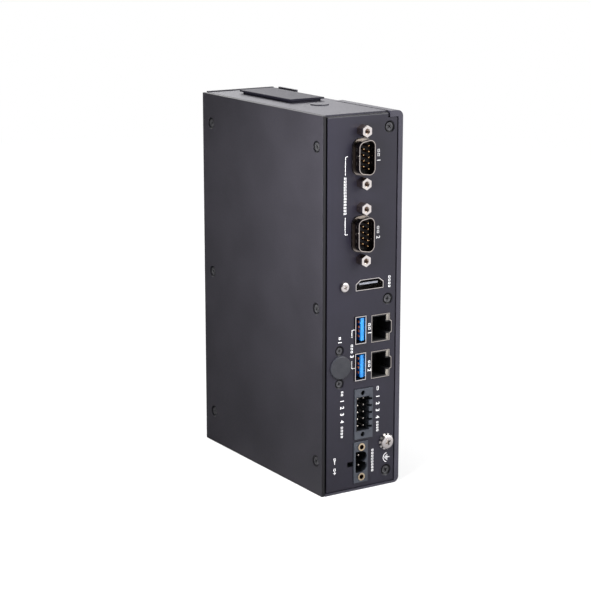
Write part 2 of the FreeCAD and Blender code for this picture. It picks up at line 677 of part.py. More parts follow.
def make_front_panel():
    body = new_body("front")
    notch_floor = size.height - size.notch_drop
    face = front_sketch(body, "front_face")
    outline(face, [
        (panel_left, panel_low), (panel_right, panel_low), (panel_right, notch_floor),
        (notch_left, notch_floor), (notch_left, panel_high), (panel_left, panel_high),
    ])
    flat = pad(body, face, size.panel_wall, True)
    notch_corner = corner(panel_right, 0, notch_floor)
    flat = round_edges(body, flat, "front_notch_corner", size.notch_round, Vector(0, 1, 0),
                       lambda middle: abs(middle.x - notch_corner.x) < NEAR
                       and abs(middle.z - notch_corner.z) < NEAR)
    front_y = -size.depth.number / 2
    high_z = panel_high.number
    left_x = corner(panel_left, 0, 0).x
    flat = round_edges(body, flat, "front_top_bend", size.bend_round, Vector(1, 0, 0),
                       lambda middle: abs(middle.y - front_y) < NEAR and abs(middle.z - high_z) < NEAR)
    round_edges(body, flat, "front_left_bend", size.bend_round / 2, Vector(0, 0, 1),
                lambda middle: abs(middle.y - front_y) < NEAR and abs(middle.x - left_x) < NEAR)
    make_flange(body, "front_flange", size.panel_wall, size.side_screw_front)
    cuts = front_sketch(body, "port_cuts")
    for z in com_heights:
        outline(cuts, d_points(com_x, z, size.shoulder + size.port_gap))
        for side in (-1, 1):
            circle(cuts, com_x, z + size.jack_pitch * side / 2, size.jack_thread + size.port_gap)
    outline(cuts, video_points(size.video_wall + size.port_gap))
    for z in usb_heights:
        half = size.usb_half + size.port_gap
        tall = size.usb_tall + size.port_gap
        rectangle(cuts, usb_x - half, z - tall, usb_x + half, z + tall)
    for z in lan_heights:
        outline(cuts, lan_points(z, size.port_gap))
    circle(cuts, cap_x, size.cap_z, cap_shaft + size.port_gap)
    circle(cuts, panel_screw_x, size.panel_screw_z, size.shank_radius + size.head_gap)
    circle(cuts, ground_x, size.ground_z, size.ground_shank + size.head_gap)
    rectangle(cuts, io_x - size.io_half - size.port_gap, size.io_z - size.io_tall - size.port_gap,
              io_x + size.io_half + size.port_gap, size.io_z + size.io_tall + size.port_gap)
    left = power_x - size.power_half - size.port_gap
    right = power_x + size.power_half + size.port_gap
    low = size.power_z - size.power_tall - size.port_gap
    high = size.power_z + size.power_tall + size.port_gap
    slot_low = size.side_slot_z - size.side_slot_half
    slot_high = size.side_slot_z + size.side_slot_half
    slot_left = left - size.side_slot_long
    outline(cuts, [(left, low), (right, low), (right, high), (left, high), (left, slot_high),
                   (slot_left, slot_high), (slot_left, slot_low), (left, slot_low)])
    opened = pocket(body, cuts, size.panel_wall)
    radius = size.shell_radius + size.shoulder + size.port_gap
    reach = size.shell_tall + size.shoulder + size.port_gap
    across = size.shell_half + size.shoulder + size.port_gap
    middles = [corner(com_x, 0, z) for z in com_heights]

    def at_d_corner(middle):
        near_port = any(abs(middle.z - point.z) < reach.number + NEAR for point in middles)
        return near_port and abs(abs(middle.x - middles[0].x) - across.number) < NEAR

    round_edges(body, opened, "serial_corners", radius, Vector(0, 1, 0), at_d_corner)
    holes = front_sketch(body, "front_holes")
    for z in rim_screw_heights:
        circle(holes, front_screw_x, z, size.shank_radius)
    countersinks(body, holes, size.head_radius, size.shank_radius)
    cap_holes = front_sketch(body, "cap_screw_holes")
    for z in cap_screw_heights:
        circle(cap_holes, cap_screw_x, z, size.cap_shank)
    countersinks(body, cap_holes, size.cap_head_radius, size.cap_shank)
    screws = [countersunk_screw(f"front_screw_{index}", front_screw_x, ZERO, z, BACKWARDS)
              for index, z in enumerate(rim_screw_heights)]
    keep("front_panel", body)
    keep("front_panel_screws", group("front_screws", screws))


def rail_places():
    half = centre_x - size.rail_inset
    middle = size.height - size.rail_top
    return [(centre_x + half * across, middle + size.rail_pitch_z * up / 2)
            for across in (-1, 1) for up in (-1, 1)]


def make_rear_panel():
    body = new_body("rear")
    face = front_sketch(body, "rear_face", rear_seat)
    rectangle(face, panel_left, panel_low, panel_right, size.height + size.rear_lip)
    pad(body, face, size.panel_wall, True)
    make_flange(body, "rear_flange", rear_seat - size.flange_depth, size.depth - size.side_screw_rear)
    holes = front_sketch(body, "rear_holes", rear_seat)
    for z in rim_screw_heights:
        circle(holes, front_screw_x, z, size.shank_radius + size.head_gap)
    for x, z in rail_places():
        circle(holes, x, z, size.rail_barrel + size.slip)
    pocket(body, holes, size.panel_wall)
    keep("rear_panel", body)
    screws = []
    inserts = []
    for index, z in enumerate(rim_screw_heights):
        name = f"rear_screw_{index}"
        head = rod(name + "_head", front_screw_x, size.depth, z, size.pan_radius, size.pan_tall)
        shank = rod(name + "_shank", front_screw_x, size.depth - size.screw_long, z,
                    size.shank_radius, size.screw_long)
        screws.append(fuse(name, [head, shank]))
    keep("rear_panel_screws", group("rear_screws", screws))
    for index, (x, z) in enumerate(rail_places()):
        name = f"rail_insert_{index}"
        barrel = rod(name + "_barrel", x, rear_seat, z, size.rail_barrel, size.panel_wall)
        cup = rod(name + "_cup", x, rear_seat - size.rail_cup_long, z, size.rail_cup, size.rail_cup_long)
        bore = rod(name + "_bore", x, size.depth - size.rail_deep, z, size.rail_bore, size.rail_deep + 1)
        inserts.append(cut(name, fuse(name + "_body", [barrel, cup]), [bore]))
    keep("rail_inserts", group("rail_insert_group", inserts))


# Raised cover on the top, held by two clips

def make_top_cover():
    body = new_body("top")
    under = size.height + size.plate_foot
    plate = top_sketch(body, "top_plate", under)
    rectangle(plate, size.plate_left, size.plate_front, plate_right, plate_rear)
    flat = pad(body, plate, size.plate_wall)
    high_z = (under + size.plate_wall).number
    round_edges(body, flat, "top_plate_round", size.edge_round, Vector(0, 1, 0),
                lambda middle: abs(middle.z - high_z) < NEAR)
    foot = top_sketch(body, "top_foot", size.height)
    inset = size.plate_overhang
    rectangle(foot, size.plate_left + inset, size.plate_front + inset, plate_right - inset,
              plate_rear - inset)
    pad(body, foot, size.plate_foot + size.plate_wall / 2)
    clips = top_sketch(body, "top_clips", under)
    half = size.clip_wide / 2
    for y in clip_places():
        rectangle(clips, plate_middle - half, y, plate_middle + half, y + size.clip_wall)
    pad(body, clips, size.clip_drop + size.plate_foot, True)
    keep("top_cover", body)


# Serial ports: drawn shell, moulded insulator, nine pins and hexagonal jackscrews

def serial_pin_places(z):
    """Five pins in the right column and four between them in the left one."""
    places = []
    for row in range(5):
        places.append((com_x + size.pin_rows / 2, z + size.pin_pitch * (row - 2)))
    for row in range(4):
        places.append((com_x - size.pin_rows / 2, z + size.pin_pitch * (row - 1.5)))
    return places


def rounded_prism(name, points, radius, y, length):
    """A prism along Y with its long edges rounded."""
    body = new_body(name)
    face = front_sketch(body, name + "_face", y)
    outline(face, points)
    raised = pad(body, face, length, True)
    round_edges(body, raised, name + "_round", radius, Vector(0, 1, 0), lambda middle: True)
    return body


def make_serial_shell(name, z):
    """A flange behind the panel, a shoulder in the cut-out and the drawn tube in front."""
    behind = size.panel_wall + size.flange_sheet
    shapes = [block(name + "_flange", com_x - size.flange_half, size.panel_wall, z - size.flange_tall,
                    size.flange_half * 2, size.flange_sheet, size.flange_tall * 2)]
    for step, grow, reach in (("_shoulder", size.shoulder, size.shoulder_reach),
                              ("_tube", size.shell_wall, size.shell_reach)):
        shapes.append(rounded_prism(name + step, d_points(com_x, z, grow), size.shell_radius + grow,
                                    -reach, reach + behind))
    tools = [rounded_prism(name + "_inner", d_points(com_x, z), size.shell_radius,
                           -size.shell_reach - 1, size.shell_reach + behind + 2)]
    for side in (-1, 1):
        tools.append(rod(f"{name}_hole_{len(tools)}", com_x, ZERO, z + size.jack_pitch * side / 2,
                         size.jack_thread + size.port_gap, behind + 1))
    keep(name, cut(name + "_cut", fuse(name + "_solid", shapes), tools))


def make_serial_port(name, z):
    make_serial_shell(name + "_shell", z)
    back = size.panel_wall + size.flange_sheet
    core = rounded_prism(name + "_core", d_points(com_x, z, -size.slip), size.shell_radius - size.slip,
                         size.core_face, back - size.core_face + size.bite)
    rear = block(name + "_block", board_right, back, z - size.block_tall,
                 com_x + size.flange_half - board_right, size.block_back - back, size.block_tall * 2)
    holes = [rod(f"{name}_pin_hole_{index}", x, ZERO, pin_z, size.pin_radius + size.thread_gap,
                 size.block_back + 1)
             for index, (x, pin_z) in enumerate(serial_pin_places(z))]
    keep(name + "_insulator", cut(name + "_core_cut", fuse(name + "_core_solid", [core, rear]), holes))
    pins = [rod(f"{name}_pin_{index}", x, -size.pin_reach, pin_z, size.pin_radius,
                size.pin_reach + size.pin_back)
            for index, (x, pin_z) in enumerate(serial_pin_places(z))]
    keep(name + "_pins", group(name + "_pin_group", pins))


def make_jackscrews():
    screws = []
    for z in com_heights:
        for side in (-1, 1):
            name = f"jackscrew_{len(screws)}"
            screw_z = z + size.jack_pitch * side / 2
            hexagon = doc.addObject("Part::Prism", name + "_hexagon")
            hexagon.Polygon = 6
            hexagon.Placement.Rotation = BACKWARDS * Rotation(Vector(0, 0, 1), 90)
            bind(hexagon, "Circumradius", size.jack_across / math.sqrt(3))
            bind(hexagon, "Height", size.jack_reach)
            place(hexagon, com_x, -size.jack_reach, screw_z)
            bore = rod(name + "_bore", com_x, -size.jack_reach, screw_z, size.jack_thread,
                       size.jack_deep)
            stud = rod(name + "_stud", com_x, ZERO, screw_z, size.jack_thread, size.jack_stud)
            screws.append(fuse(name, [cut(name + "_nut", hexagon, [bore]), stud]))
    keep("com_jackscrews", group("jackscrew_group", screws))


# Video, bus and network ports

def make_video_port():
    body = new_body("video_tube")
    outer = front_sketch(body, "video_outer", size.video_face)
    outline(outer, video_points(size.video_wall))
    pad(body, outer, size.video_back - size.video_face, True)
    inner = front_sketch(body, "video_inner", size.video_face)
    outline(inner, video_points())
    pocket(body, inner, size.video_back)
    keep("video_port_shell", body)
    left = video_x - size.video_half
    tongue = block("video_tongue_blade", video_x - size.video_tongue_half, size.video_tongue_face,
                   video_z + size.video_tongue_rise - size.video_tongue_wall / 2, size.video_tongue_half * 2,
                   size.video_back - size.port_block, size.video_tongue_wall)
    filling = new_body("video_filling")
    fill = front_sketch(filling, "video_fill", size.video_back - size.port_block)
    outline(fill, video_points(-size.slip))
    pad(filling, fill, size.port_block + size.port_gap, True)
    foot = block("video_foot", board_right, size.video_back + size.port_gap / 2,
                 video_z - size.video_tall, left + size.video_half - board_right,
                 size.port_block, size.video_tall * 2)
    keep("video_port_insert", fuse("video_insert", [tongue, filling, foot]))


def make_bus_port(name, z):
    """An upright port: folded steel shell, blue blade and four contacts on the blade's left face."""
    left = usb_x - size.usb_half
    across = size.usb_half * 2
    long = size.usb_back + size.usb_reach
    wall = size.usb_wall
    outer = block(name + "_outer", left, -size.usb_reach, z - size.usb_tall, across, long,
                  size.usb_tall * 2)
    inner = block(name + "_inner", left + wall, -size.usb_reach - 1, z - size.usb_tall + wall,
                  across - wall * 2, long + 2, (size.usb_tall - wall) * 2)
    tube = cut(name + "_tube", outer, [inner])
    legs = []
    for side, low in (("low", z - size.usb_tall), ("high", z + size.usb_tall - wall)):
        legs.append(block(f"{name}_leg_{side}", board_right, size.usb_back / 2, low,
                          left + wall - board_right, size.usb_leg, wall))
    keep(name + "_shell", fuse(name + "_shell_body", [tube] + legs))
    blade_left = usb_x + size.usb_tongue_right
    blade = block(name + "_blade", blade_left, size.usb_tongue_face, z - size.usb_tongue_tall,
                  size.usb_tongue_wall, size.usb_back - size.usb_tongue_face, size.usb_tongue_tall * 2)
    gap = wall + size.slip
    filling = block(name + "_filling", left + gap, size.usb_back - size.port_block, z - size.usb_tall + gap,
                    across - gap * 2, size.port_block, (size.usb_tall - gap) * 2)
    keep(name + "_insert", fuse(name + "_insert_body", [blade, filling]))
    contacts = []
    for shift in (-size.usb_contact_outer, -size.usb_contact_inner, size.usb_contact_inner,
                  size.usb_contact_outer):
        contacts.append(block(f"{name}_contact_{len(contacts)}", blade_left - size.usb_contact_proud,
                              size.usb_contact_front, z + shift - size.usb_contact / 2,
                              size.usb_contact_proud, size.usb_contact_back - size.usb_contact_front,
                              size.usb_contact))
    keep(name + "_contacts", group(name + "_contact_group", contacts))


def make_network_port(name, z):
    """Steel shell, black insert with the plug's cavity and latch channel, and eight spring wires."""
    shell = new_body(name + "_tube")
    outer = front_sketch(shell, name + "_outer", size.lan_face)
    outline(outer, lan_points(z))
    pad(shell, outer, size.lan_back - size.lan_face, True)
    inner = front_sketch(shell, name + "_inner", size.lan_face)
    outline(inner, lan_points(z, -size.lan_wall))
    pocket(shell, inner, size.lan_back)
    keep(name + "_shell", shell)
    insert = new_body(name + "_moulding")
    margin = size.lan_wall + size.slip
    solid = front_sketch(insert, name + "_solid", size.lan_insert_face)
    outline(solid, lan_points(z, -margin))
    pad(insert, solid, size.lan_back - size.lan_insert_face, True)
    tower = front_sketch(insert, name + "_tower", size.lan_back)
    rectangle(tower, board_right, z - size.lan_tall + margin,
              lan_right - margin, z + size.lan_tall - margin)
    pad(insert, tower, size.tower_deep, True)
    cavity_left = lan_left + size.lan_cavity_left
    cavity_right = lan_right - size.lan_cavity_right
    latch_right = lan_right + size.lan_bump - size.lan_wall * 2
    tall = size.lan_cavity_tall
    latch = size.lan_latch_tall
    cavity = front_sketch(insert, name + "_cavity", size.lan_insert_face)
    outline(cavity, [
        (cavity_left, z - tall), (cavity_right, z - tall), (cavity_right, z - latch),
        (latch_right, z - latch), (latch_right, z + latch), (cavity_right, z + latch),
        (cavity_right, z + tall), (cavity_left, z + tall),
    ])
    pocket(insert, cavity, size.lan_cavity_deep)
    wells = front_sketch(insert, name + "_wells", size.lan_insert_face)
    well_left = cavity_right + size.port_gap
    well_right = well_left + size.light_wide
    for low, high in ((-size.light_high, -size.light_low), (size.light_low, size.light_high)):
        rectangle(wells, well_left, z + low, well_right, z + high)
    pocket(insert, wells, size.light_deep)
    keep(name + "_insert", insert)
    wires = []
    for index in range(8):
        low = z + size.lan_wire_pitch * (index - 3.5) - size.lan_wire / 2
        wires.append(block(f"{name}_wire_{index}", cavity_left, size.lan_wire_front, low,
                           size.lan_wire_proud,
                           size.lan_cavity_deep + size.lan_insert_face - size.lan_wire_front, size.lan_wire))
    keep(name + "_contacts", group(name + "_wire_group", wires))


def make_light_pipes():
    pipes = []
    left = lan_right - size.lan_cavity_right + size.port_gap
    for z in lan_heights:
        for low in (-size.light_high, size.light_low):
            name = f"light_pipe_{len(pipes)}"
            pipes.append(block(name, left + size.slip, size.lan_face, z + low + size.slip,
                               size.light_wide - size.slip * 2,
                               size.light_deep + size.lan_insert_face - size.lan_face,
                               size.light_high - size.light_low - size.slip * 2))
    keep("lan_light_pipes", group("light_pipe_group", pipes))


# Blanking cap with its two screws and the plate behind it

def make_blanking_cap():
    body = new_body("cap")
    disc = front_sketch(body, "cap_disc")
    circle(disc, cap_x, size.cap_z, cap_radius)
    round_disc = pad(body, disc, size.cap_wall)
    doc.recompute()
    edge = body.newObject("PartDesign::Fillet", "cap_round")
    edge.Base = (round_disc, [f"Edge{outer_rim(round_disc.Shape)}"])
    bind(edge, "Radius", size.cap_wall / 2)
    shaft = front_sketch(body, "cap_shank_face")
    circle(shaft, cap_x, size.cap_z, cap_shaft)
    pad(body, shaft, size.panel_wall * 2, True)
    keep("port_cap", body)
    plate = new_body("cap_bracket_body")
    face = front_sketch(plate, "bracket_face", size.panel_wall)
    half = cap_shaft + size.bracket_web
    tall = cap_radius + size.bracket_end
    rectangle(face, cap_screw_x - half, size.cap_z - tall, cap_screw_x + half, size.cap_z + tall)
    pad(plate, face, size.panel_wall, True)
    holes = front_sketch(plate, "bracket_holes", size.panel_wall)
    circle(holes, cap_x, size.cap_z, cap_shaft + size.port_gap)
    pocket(plate, holes, size.panel_wall)
    threads = front_sketch(plate, "bracket_threads", size.panel_wall)
    screws = []
    for z in cap_screw_heights:
        circle(threads, cap_screw_x, z, size.cap_shank + size.thread_gap)
        screws.append(countersunk_screw(f"cap_screw_{len(screws)}", cap_screw_x, ZERO, z, BACKWARDS,
                                        size.cap_head_radius, size.cap_head_tall, size.cap_shank,
                                        size.cap_screw_long))
    pocket(plate, threads, size.panel_wall)
    keep("cap_bracket", plate)
    keep("port_cap_screws", group("cap_screws", screws))


# Pluggable headers

def io_pin_places():
    middle = io_x + (size.io_cavity_left - size.io_cavity_right) / 2 + size.io_pin_shift
    return [(middle + size.io_pitch * side / 2, size.io_z + size.io_pitch * row)
            for side in (-1, 1) for row in (-2, -1, 0, 1, 2)]


def make_io_header():
    body = new_body("io")
    left = io_x - size.io_half
    right = io_x + size.io_half
    block_face = front_sketch(body, "io_block", -size.header_reach)
    rectangle(block_face, left, size.io_z - size.io_tall, right, size.io_z + size.io_tall)
    pad(body, block_face, size.header_reach + size.header_back, True)
    foot = front_sketch(body, "io_foot", size.header_back / 2)
    rectangle(foot, board_right, size.io_z - size.io_tall, left + size.bite, size.io_z + size.io_tall)
    pad(body, foot, size.header_back / 2, True)
    cavity = front_sketch(body, "io_cavity", -size.header_reach)
    rectangle(cavity, left + size.io_cavity_left, size.io_z - size.io_cavity_tall,
              right - size.io_cavity_right, size.io_z + size.io_cavity_tall)
    pocket(body, cavity, size.cavity_deep)
    notches = front_sketch(body, "io_notches", -size.header_reach)
    for row in range(-2, 3):
        z = size.io_z + size.io_pitch * row
        rectangle(notches, right - size.io_cavity_right - size.bite, z - size.io_notch / 2,
                  right - size.bite / 2, z + size.io_notch / 2)
    pocket(body, notches, size.io_notch_deep)
    holes = front_sketch(body, "io_screw_holes", -size.header_reach)
    for side in (-1, 1):
        circle(holes, io_x - size.io_hole_shift, size.io_z + size.io_hole_pitch * side / 2,
               size.io_hole_radius)
    pocket(body, holes, size.io_hole_deep)
    pin_holes = front_sketch(body, "io_pin_holes", size.cavity_deep - size.header_reach)
    for x, z in io_pin_places():
        circle(pin_holes, x, z, size.header_pin + size.thread_gap)
    pocket(body, pin_holes, size.header_back)
    keep("io_header", body)
    pins = [rod(f"io_pin_{index}", x, size.header_pin_face, z, size.header_pin,
                size.header_pin_back - size.header_pin_face)
            for index, (x, z) in enumerate(io_pin_places())]
    keep("io_header_pins", group("io_pin_group", pins))


def make_power_header():
    body = new_body("power")
    left = power_x - size.power_half
    right = power_x + size.power_half
    block_face = front_sketch(body, "power_block", -size.header_reach)
    rectangle(block_face, left, size.power_z - size.power_tall, right, size.power_z + size.power_tall)
    pad(body, block_face, size.header_reach + size.header_back, True)
    foot = front_sketch(body, "power_foot", size.panel_wall)
    rectangle(foot, board_right, size.power_z - size.power_tall / 2, left + size.bite,
              size.power_z + size.power_tall)
    pad(body, foot, size.header_back - size.panel_wall, True)
    well = front_sketch(body, "power_well", size.panel_wall)
    rectangle(well, left - size.side_slot_long, size.side_slot_z - size.side_slot_half, left,
              size.side_slot_z + size.side_slot_half)
    pocket(body, well, size.side_slot_deep)
    cavity = front_sketch(body, "power_cavity", -size.header_reach)
    rectangle(cavity, left + size.power_cavity_left, size.power_z - size.power_cavity_tall,
              power_x + size.power_cavity_right, size.power_z + size.power_cavity_tall)
    pocket(body, cavity, size.cavity_deep)
    for side, name in ((-1, "power_lobe_low"), (1, "power_lobe_high")):
        lobe = front_sketch(body, name, -size.header_reach)
        circle(lobe, power_x + size.lobe_shift, size.power_z + size.power_pitch * side / 2, size.lobe_radius)
        pocket(body, lobe, size.cavity_deep)
    bores = front_sketch(body, "power_insert_bores", -size.header_reach)
    for side in (-1, 1):
        circle(bores, power_x + size.insert_shift, size.power_z + size.insert_pitch * side / 2,
               size.insert_radius + size.thread_gap)
    pocket(body, bores, size.insert_long)
    pin_holes = front_sketch(body, "power_pin_holes", size.cavity_deep - size.header_reach)
    for side in (-1, 1):
        circle(pin_holes, power_x + size.power_pin_shift, size.power_z + size.power_pitch * side / 2,
               size.power_pin + size.thread_gap)
    pocket(body, pin_holes, size.header_back)
    keep("power_header", body)
    pins = []
    inserts = []
    for side in (-1, 1):
        pin_z = size.power_z + size.power_pitch * side / 2
        pins.append(rod(f"power_pin_{len(pins)}", power_x + size.power_pin_shift,
                        size.header_pin_face, pin_z, size.power_pin,
                        size.header_pin_back - size.header_pin_face))
        insert_z = size.power_z + size.insert_pitch * side / 2
        name = f"power_insert_{len(inserts)}"
        start = -size.header_reach - size.insert_proud
        sleeve = rod(name + "_sleeve", power_x + size.insert_shift, start, insert_z, size.insert_radius,
                     size.insert_long + size.insert_proud)
        bore = rod(name + "_bore", power_x + size.insert_shift, start - 1, insert_z, size.insert_bore,
                   size.insert_long)
        inserts.append(cut(name, sleeve, [bore]))
    keep("power_header_pins", group("power_pin_group", pins))
    keep("power_header_inserts", group("power_insert_group", inserts))


# Loose screws on the front panel

def make_front_hardware():
    keep("panel_screw", pan_screw("nickel_screw", panel_screw_x, ZERO, size.panel_screw_z,
                                  size.small_pan_radius, size.small_pan_tall, size.shank_radius,
                                  size.screw_long))
    bracket_left = panel_screw_x - size.pan_radius * 1.5
    plate = block("bracket_plate", bracket_left, size.panel_wall,
                  size.panel_screw_z - size.pan_radius * 4, board_x - bracket_left,
                  size.panel_wall, size.pan_radius * 6)
    leg = block("bracket_leg", board_x - size.panel_wall, size.panel_wall,
                size.panel_screw_z - size.pan_radius * 4, size.panel_wall, size.flange_depth,
                size.pan_radius * 2)
    thread = rod("bracket_thread", panel_screw_x, ZERO, size.panel_screw_z,
                 size.shank_radius + size.thread_gap, size.screw_long)
    keep("board_bracket", cut("bracket_cut", fuse("bracket_fold", [plate, leg]), [thread]))
    keep("ground_screw", pan_screw("earth_screw", ground_x, -size.washer_wall, size.ground_z,
                                   size.ground_head, size.ground_tall, size.ground_shank, size.ground_long))
    body = new_body("washer")
    ring = front_sketch(body, "washer_ring")
    circle(ring, ground_x, size.ground_z, size.washer_radius)
    circle(ring, ground_x, size.ground_z, size.ground_shank + size.head_gap)
    pad(body, ring, size.washer_wall)
    gap = front_sketch(body, "washer_gap", -size.washer_wall)
    rectangle(gap, ground_x - size.tooth_gap / 2,
              size.ground_z + size.washer_radius - size.tooth_deep,
              ground_x + size.tooth_gap / 2, size.ground_z + size.washer_radius + 1)
    hub = draw(body, "washer_hub", "XZ_Plane",
               (ground_x - size.width / 2, size.ground_z, size.depth / 2))
    circle(hub, ZERO, ZERO, size.head_gap)
    first = pocket(body, gap, size.washer_wall)
    ring_of_gaps = body.newObject("PartDesign::PolarPattern", "washer_gaps")
    ring_of_gaps.Originals = [first]
    ring_of_gaps.Axis = (hub, ["N_Axis"])
    ring_of_gaps.Angle = 360
    bind(ring_of_gaps, "Occurrences", size.washer_teeth)
    body.Tip = ring_of_gaps
    doc.recompute()
    keep("ground_washer", body)


# Mainboard and what it carries: connectors and heat on its right face, cards on its left one

def make_mainboard():
    body = new_body("board")
    face = side_sketch(body, "board_face", board_x)
    rectangle(face, size.board_front, size.board_low, size.depth - size.board_end,
              size.height - size.board_top)
    pad(body, face, size.board_wall)
    holes = side_sketch(body, "board_holes", board_right)
    for y, z in post_places:
        circle(holes, y, z, size.shank_radius + size.head_gap)
    pocket(body, holes, size.board_wall)
    keep("mainboard", body)
    screws = [pan_screw(f"board_screw_{index}", board_x, y, z, size.pan_radius, size.pan_tall,
                        size.shank_radius, size.board_screw_long, RIGHTWARDS)
              for index, (y, z) in enumerate(post_places)]
    keep("board_screws", group("board_screw_group", screws))


def make_heat_path():
    half = size.chip_side / 2
    keep("processor", block("chip", board_right, size.chip_y - half, size.chip_z - half,
                            size.chip_tall, size.chip_side, size.chip_side))
    half = size.pad_side / 2
    keep("thermal_pad", block("pad_block", board_right + size.chip_tall, size.chip_y - half,
                              size.chip_z - half, size.pad_tall, size.pad_side, size.pad_side))


def make_cards():
    """Memory module and storage card lie flat over the board's left face in their sockets."""
    left = board_x - size.memory_lift - size.card_wall
    low = size.memory_z - size.memory_long / 2
    socket = block("memory_socket_block", left - size.card_wall, size.memory_y - size.memory_socket, low,
                   size.memory_lift + size.card_wall * 2, size.memory_socket, size.memory_long)
    slot = block("memory_slot", left - size.slip, size.memory_y - size.memory_socket / 2, low + 1,
                 size.card_wall + size.slip * 2, size.memory_socket, size.memory_long - 2)
    keep("memory_socket", cut("memory_socket_cut", socket, [slot]))
    card = block("memory_card", left, size.memory_y - size.memory_socket / 2 + size.slip,
                 low + 1 + size.slip, size.card_wall, size.memory_wide,
                 size.memory_long - 2 - size.slip * 2)
    chips = []
    quarter = size.memory_long / 4
    for index in range(4):
        chips.append(block(f"memory_chip_{index}", left - size.memory_chip,
                           size.memory_y + size.memory_socket, low + quarter * index + quarter / 5,
                           size.memory_chip + size.card_wall / 2, size.memory_wide / 2, quarter * 0.6))
    keep("memory_module", fuse("memory_module_fuse", [card] + chips))
    left = board_x - size.storage_lift - size.card_wall
    low = size.storage_z - size.storage_wide / 2
    high_wall = size.storage_lift + size.card_wall * 2
    socket = block("storage_socket_block", left - size.card_wall, size.storage_y - size.storage_socket, low,
                   high_wall, size.storage_socket, size.storage_wide)
    slot = block("storage_slot", left - size.slip, size.storage_y - size.storage_socket / 2, low + 1,
                 size.card_wall + size.slip * 2, size.storage_socket, size.storage_wide - 2)
    keep("storage_socket", cut("storage_socket_cut", socket, [slot]))
    card = block("storage_card_sheet", left, size.storage_y - size.storage_socket / 2 + size.slip,
                 low + 1 + size.slip, size.card_wall, size.storage_long,
                 size.storage_wide - 2 - size.slip * 2)
    chip = block("storage_chip", left - size.memory_chip, size.storage_y + size.storage_socket,
                 low + size.storage_wide / 5, size.memory_chip + size.card_wall / 2,
                 size.storage_long / 2, size.storage_wide * 0.6)
    end_y = size.storage_y - size.storage_socket / 2 + size.storage_long - size.head_radius
    hole = rod("storage_hole", left - size.memory_chip, end_y, size.storage_z,
               size.cap_shank + size.head_gap, size.storage_lift + size.card_wall * 2, RIGHTWARDS)
    keep("storage_card", cut("storage_card_cut", fuse("storage_card_fuse", [card, chip]), [hole]))
    head = rod("storage_screw_head", left - size.card_wall, end_y, size.storage_z, size.cap_head_radius,
               size.card_wall, RIGHTWARDS)
    shank = rod("storage_screw_shank", left - size.card_wall, end_y, size.storage_z, size.cap_shank,
                size.card_wall * 2 + size.storage_lift, RIGHTWARDS)
    spacer = rod("storage_spacer", left + size.card_wall, end_y, size.storage_z, size.cap_head_radius,
                 size.storage_lift, RIGHTWARDS)
    keep("storage_screw", fuse("storage_screw_fuse", [head, shank, spacer]))


def make_coin_cell():
    cell_y = size.depth - size.cell_end
    left = board_x - size.holder_wall - size.cell_tall
    half = size.holder_half
    box = block("holder_box", left, cell_y - half, size.cell_z - half,
                size.holder_wall + size.cell_tall, half * 2, half * 2)
    seat = rod("holder_seat", left - 1, cell_y, size.cell_z, size.cell_radius + size.slip,
               size.cell_tall + 1, RIGHTWARDS)
    keep("coin_cell_holder", cut("holder_cut", box, [seat]))
    keep("coin_cell", rod("cell", left, cell_y, size.cell_z, size.cell_radius, size.cell_tall,
                          RIGHTWARDS))


def make_power_parts():
    cans = []
    for index in range(int(sheet.get("capacitor_count"))):
        y = size.capacitor_y + size.capacitor_pitch * index
        cans.append(rod(f"capacitor_{index}", board_right, y, size.capacitor_z, size.capacitor_radius,
                        size.capacitor_tall, RIGHTWARDS))
    keep("capacitors", group("capacitor_group", cans))
    half = size.choke_side / 2
    core = block("choke_block", board_right, size.choke_y - half, size.choke_z - half, size.choke_tall,
                 size.choke_side, size.choke_side)
    keep("power_choke", core)
    support_y = size.depth - size.support_end
    half = size.support_side / 2
    chips = []
    for index in range(3):
        z = size.support_z - size.support_pitch * (index - 1)
        chips.append(block(f"support_chip_{index}", board_right, support_y - half, z - half,
                           size.support_tall, size.support_side, size.support_side))
    keep("support_chips", group("support_chip_group", chips))


def check_document():
    doc.recompute()
    for thing in doc.Objects:
        if "Invalid" in thing.State or "Error" in thing.State:
            raise RuntimeError(f"{thing.Name} failed: {thing.State}")
    for thing in parts:
        if thing.Shape.isNull() or not thing.Shape.isValid() or not thing.Shape.Solids:
            raise RuntimeError(thing.Label + " has no valid solid")


def export_parts():
    os.makedirs("parts", exist_ok=True)
    for thing in parts:
        thing.Shape.exportStep(f"parts/{thing.Label}.step")


make_housing()
make_left_cover()
make_front_panel()
make_rear_panel()
make_top_cover()
for port, height in zip(("com1", "com2"), com_heights):
    make_serial_port(port, height)
make_jackscrews()
make_video_port()
for port, height in zip(("usb1", "usb2"), usb_heights):
    make_bus_port(port, height)
for port, height in zip(("lan1", "lan2"), lan_heights):
    make_network_port(port, height)
make_light_pipes()
make_blanking_cap()
make_io_header()
make_power_header()
make_front_hardware()
make_mainboard()
make_heat_path()
make_cards()
make_coin_cell()
make_power_parts()
check_document()
export_parts()
print(len(parts), "pieces,", sum(len(thing.Shape.Solids) for thing in parts), "solids")
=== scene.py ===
import math
import bmesh
import bpy
from mathutils import Matrix, Vector


